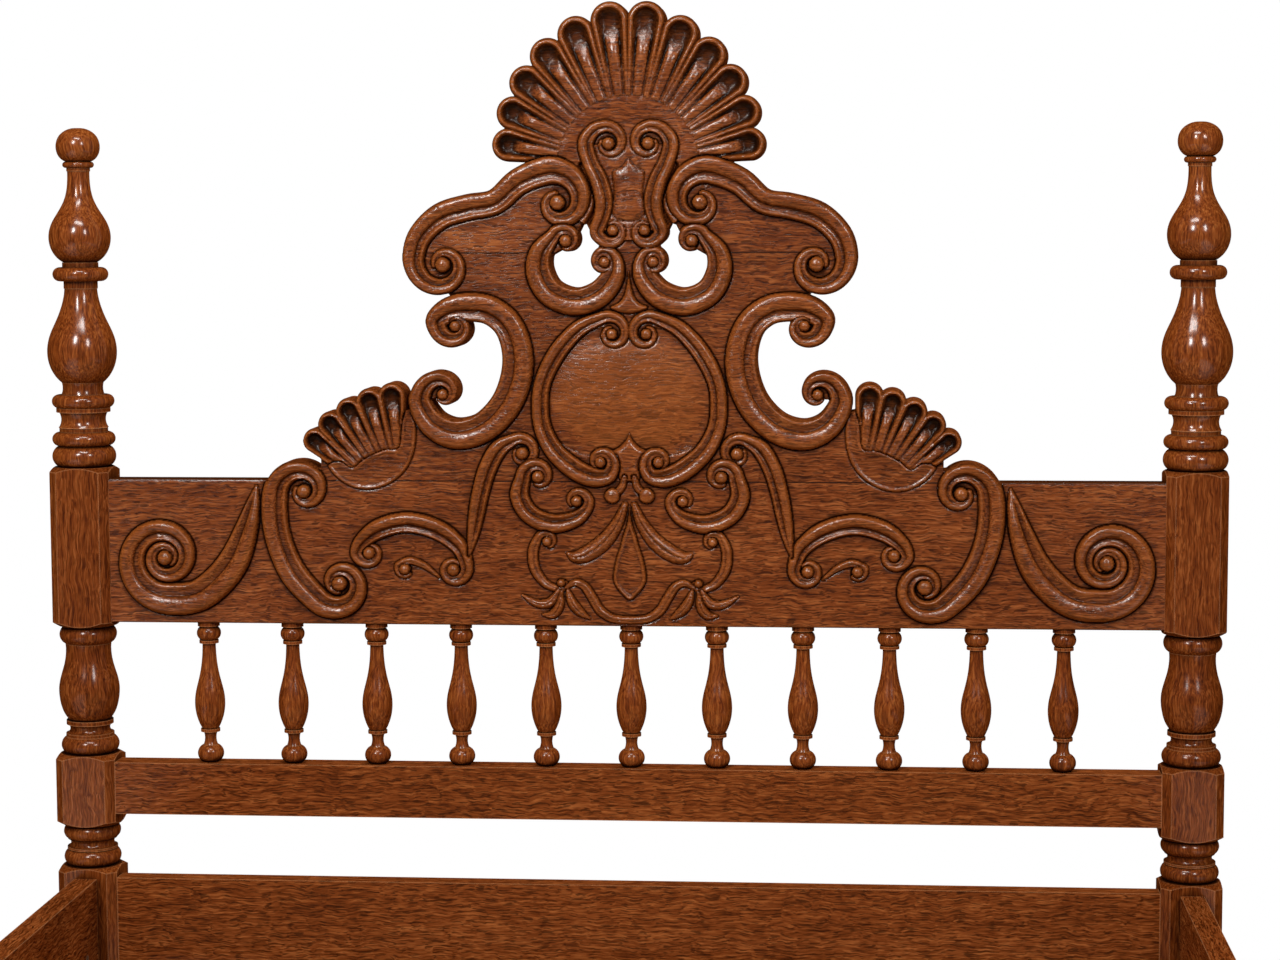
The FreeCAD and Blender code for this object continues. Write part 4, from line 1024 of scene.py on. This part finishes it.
def wood(name, axis, tones=WOOD, *, gloss, coat, carved=False, turned=False, seed=0.0):
    """Lacquered, open-pored wood with its grain along one axis, and painted shade in its hollows.
    """
    n, shader = new_material(name)
    place, bent = wood_places(n, seed)
    pore_share = TURNED_PORE_SHARE if turned else PORE_SHARE
    colour, streaks, normal = grain(n, bent, axis, tones, pore_share)
    glancing = n.add("ShaderNodeLayerWeight", {"Blend": 0.5}).outputs["Facing"]
    glaze = n.span(glancing, *GLAZE_SPAN, coat, 0.0)
    if carved:
        hollow_shade, crown_highlight, worked = [n.add("ShaderNodeAttribute", attribute_name=layer).outputs["Fac"]
                                 for layer in ("hollow_shade", "crown_highlight", "worked")]
        colour = shade_highlight_and_seams(n, colour, hollow_shade, crown_highlight, worked)
        cuts = n.maths("MULTIPLY", n.noise(place, CUT_SCALE, CUT_DETAIL), worked)
        normal = n.bump(cuts, *CUT_BUMP, Normal=normal)
        glaze = n.maths("MULTIPLY", glaze, n.span(hollow_shade, *DULL_SPAN, 1.0, DULL_SHARE))
        n.feed(shader["Coat Normal"], normal)
    else:
        # A painted highlight along sharp edges.
        colour = highlight_edges(n, colour)
    if turned:
        colour = shade_hollows(n, colour)
    n.feed(shader["Base Color"], colour)
    n.feed(shader["Roughness"], n.span(streaks, *STREAK_SPAN, *ROUGHNESS))
    n.feed(shader["Normal"], normal)
    n.feed(shader["Coat Weight"], glaze)
    n.feed(shader["Specular IOR Level"], 0.0)
    n.feed(shader["Coat Roughness"], gloss)
    return n.owner


# ---- steel
SCRATCH_SCALE = 700.0
SCRATCH_DETAIL = 4.0
SCRATCH_SPAN = (0.3, 0.7)
SCRATCH_LIGHT = 1.25
SCRATCH_ROUGH = 0.08


def steel(name, colour, rough):
    """Bright steel with fine scratches."""
    n, shader = new_material(name)
    scratch = n.noise(n.object_place(), SCRATCH_SCALE, SCRATCH_DETAIL)
    lighter = [min(1, c * SCRATCH_LIGHT) for c in colour[:3]] + [1.0]
    n.feed(shader["Base Color"], n.ramp(scratch, list(zip(SCRATCH_SPAN, (colour, lighter)))))
    n.feed(shader["Roughness"], n.span(scratch, *SCRATCH_SPAN, rough - SCRATCH_ROUGH,
                                       rough + SCRATCH_ROUGH))
    n.feed(shader["Metallic"], 1.0)
    return n.owner


# ---- which piece gets what
RAIL_EDGE = 0.0016
SLAT_EDGE = 0.002
LEDGER_EDGE = 0.001
EASED_FROM_ANGLE = 50
EASED_SEGMENTS = 2


def paint(piece, material):
    """Makes a material the only one of a piece."""
    piece.data.materials.clear()
    piece.data.materials.append(material)


def dress(prefixes, material, eased_edge=0.0):
    """Gives the nodes whose names start so their material, and eases their sharp edges."""
    for name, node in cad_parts.items():
        if name.startswith(tuple(prefixes)):
            paint(node, material)
            if eased_edge:
                bevel = node.modifiers.new("eased", "BEVEL")
                bevel.width = eased_edge
                bevel.segments = EASED_SEGMENTS
                bevel.limit_method = "ANGLE"
                bevel.angle_limit = math.radians(EASED_FROM_ANGLE)


def dress_all():
    """Gives every piece its wood or steel."""
    boards = build_boards()
    carved_wood = wood("carved_wood", X_AXIS, carved=True, gloss=0.23, coat=1.0)
    for board in boards:
        paint(board, carved_wood)
    dress(["head_rail", "head_panel", "foot_rail", "foot_panel"],
          wood("cross_wood", X_AXIS, seed=1.7, coat=0.4, gloss=0.22), RAIL_EDGE)
    dress(["side_rail"], wood("side_wood", Y_AXIS, seed=3.1, coat=0.4, gloss=0.22), RAIL_EDGE)
    dress(["head_post", "foot_post"],
          wood("post_wood", Z_AXIS, POST, turned=True, seed=4.3, coat=0.6, gloss=0.18))
    dress(["head_finial"],
          wood("finial_wood", Z_AXIS, TURNED, turned=True, seed=5.7, coat=0.9, gloss=0.17))
    dress(["head_spindle", "foot_spindle"],
          wood("spindle_wood", Z_AXIS, TURNED, turned=True, seed=6.1, coat=0.6, gloss=0.2))
    dress(["slat_0", "slat_1"],
          wood("slat_wood", X_AXIS, PALE, seed=2.2, gloss=0.6, coat=0.1), SLAT_EDGE)
    dress(["slat_ledger"],
          wood("ledger_wood", Y_AXIS, PALE, seed=2.9, gloss=0.6, coat=0.1), LEDGER_EDGE)
    dress(["board_dowels"], wood("dowel_wood", Z_AXIS, PALE, seed=5.2, gloss=0.6, coat=0.1))
    dress(["bed_bolts", "barrel_nuts"], steel("bolt_steel", linear(150, 146, 140), 0.38))
    dress(["ledger_screws", "slat_screws"], steel("screw_steel", linear(176, 168, 150), 0.32))


# ---- floor, light and camera
FLOOR_LOW_CORNER = (-2.2, -2.4)
FLOOR_HIGH_CORNER = (2.2, 1.7)
FLOOR_TONES = [(0.3, linear(214, 213, 210)), (0.7, linear(220, 219, 216))]
FLOOR_SCALE = 3.0
FLOOR_ROUGHNESS = 0.7

WHITE = (1.0, 1.0, 1.0, 1.0)
ROOM_COLOUR = (1.0, 0.985, 0.965, 1.0)
ROOM_LIGHT = 0.34
REFLECTED_ROOM = 0.05
# In reflections the room turns from dim to white between the directions with Y -0.2 and 0.2.
BACKDROP_SLOPE = 2.5
BACKDROP_MIDDLE = 0.5

LAMP_COLOUR = (1.0, 0.97, 0.93)
LAMPS = {
    "left_box": {"place": (-1.2, -2.3, 2.9), "target": (0, 1.0, 1.0), "size": (0.44, 0.95),
                 "power": 74},
    "right_box": {"place": (1.75, -2.3, 2.7), "target": (0, 1.0, 1.0), "size": (0.44, 0.95),
                  "power": 46},
    "top_box": {"place": (-0.3, -0.9, 3.6), "target": (0, 1.0, 1.0), "size": (1.4, 0.4),
                "power": 46},
    "back_box": {"place": (1.4, 4.4, 2.8), "target": (0, 0.8, 0.7), "size": (1.6, 1.2),
                 "power": 95},
}

CAMERA_SENSOR = 36.0
CAMERA_LENS = 78.75
CAMERA_REACH = 50.0
CAMERA_PLACE = (0.295, -2.523, 1.29)
# Degrees: to the left, down, and round the line of sight.
CAMERA_TURN = (4.55, 5.37, -0.19)


def make_floor():
    """A pale floor under the bed."""
    (x0, y0), (x1, y1) = FLOOR_LOW_CORNER, FLOOR_HIGH_CORNER
    mesh = bpy.data.meshes.new("floor")
    mesh.from_pydata([(x0, y0, 0), (x1, y0, 0), (x1, y1, 0), (x0, y1, 0)], [], [(0, 1, 2, 3)])
    floor = link_object("floor", mesh)
    n, shader = new_material("pale_floor")
    n.feed(shader["Base Color"], n.ramp(n.noise(n.object_place(), FLOOR_SCALE), FLOOR_TONES))
    n.feed(shader["Roughness"], FLOOR_ROUGHNESS)
    mesh.materials.append(n.owner)


def make_world():
    """White behind the bed, as seen and in reflections, and a dim room behind the camera."""
    world = bpy.data.worlds.new("studio")
    bpy.context.scene.world = world
    n = Nodes(world)
    soft = n.tree.nodes["Background"]
    n.feed(soft.inputs["Color"], ROOM_COLOUR)
    n.feed(soft.inputs["Strength"], ROOM_LIGHT)
    white = n.add("ShaderNodeBackground", {"Color": WHITE, "Strength": 1.0}).outputs[0]
    dim = n.add("ShaderNodeBackground", {"Color": WHITE, "Strength": REFLECTED_ROOM}).outputs[0]
    ray = n.add("ShaderNodeLightPath").outputs
    direction = n.add("ShaderNodeTexCoord").outputs["Generated"]
    away = n.add("ShaderNodeSeparateXYZ", {0: direction}).outputs["Y"]
    behind = n.add("ShaderNodeMath", {0: away, 1: BACKDROP_SLOPE, 2: BACKDROP_MIDDLE},
                   operation="MULTIPLY_ADD", use_clamp=True).outputs[0]
    reflected = n.mix_shader(behind, dim, white)
    glossy = n.maths("MAXIMUM", ray["Is Glossy Ray"], ray["Is Transmission Ray"])
    unseen = n.mix_shader(glossy, soft.outputs[0], reflected)
    shown = n.mix_shader(ray["Is Camera Ray"], unseen, white)
    n.feed(n.tree.nodes["World Output"].inputs[0], shown)


def area_light(name, place, target, size, power):
    """A rectangular lamp that looks at its target."""
    light = bpy.data.lights.new(name, "AREA")
    light.shape = "RECTANGLE"
    light.size, light.size_y = size
    light.energy = power
    light.color = LAMP_COLOUR
    lamp = link_object(name, light)
    lamp.location = place
    lamp.rotation_euler = (Vector(target) - Vector(place)).to_track_quat("-Z", "Y").to_euler()


def make_camera():
    """The camera, on the foot side and a little to the right of the middle."""
    camera = bpy.data.cameras.new("camera")
    camera.sensor_width = CAMERA_SENSOR
    camera.lens = CAMERA_LENS
    camera.clip_end = CAMERA_REACH
    eye = link_object("camera", camera)
    yaw, pitch, roll = (math.radians(a) for a in CAMERA_TURN)
    eye.matrix_world = (Matrix.Translation(CAMERA_PLACE) @ Matrix.Rotation(yaw, 4, "Z")
                        @ Matrix.Rotation(math.pi / 2 - pitch, 4, "X")
                        @ Matrix.Rotation(roll, 4, "Z"))
    bpy.context.scene.camera = eye


dress_all()
make_floor()
make_world()
for lamp_name, lamp_settings in LAMPS.items():
    area_light(lamp_name, **lamp_settings)
make_camera()

bpy.context.scene.view_settings.view_transform = "Standard"
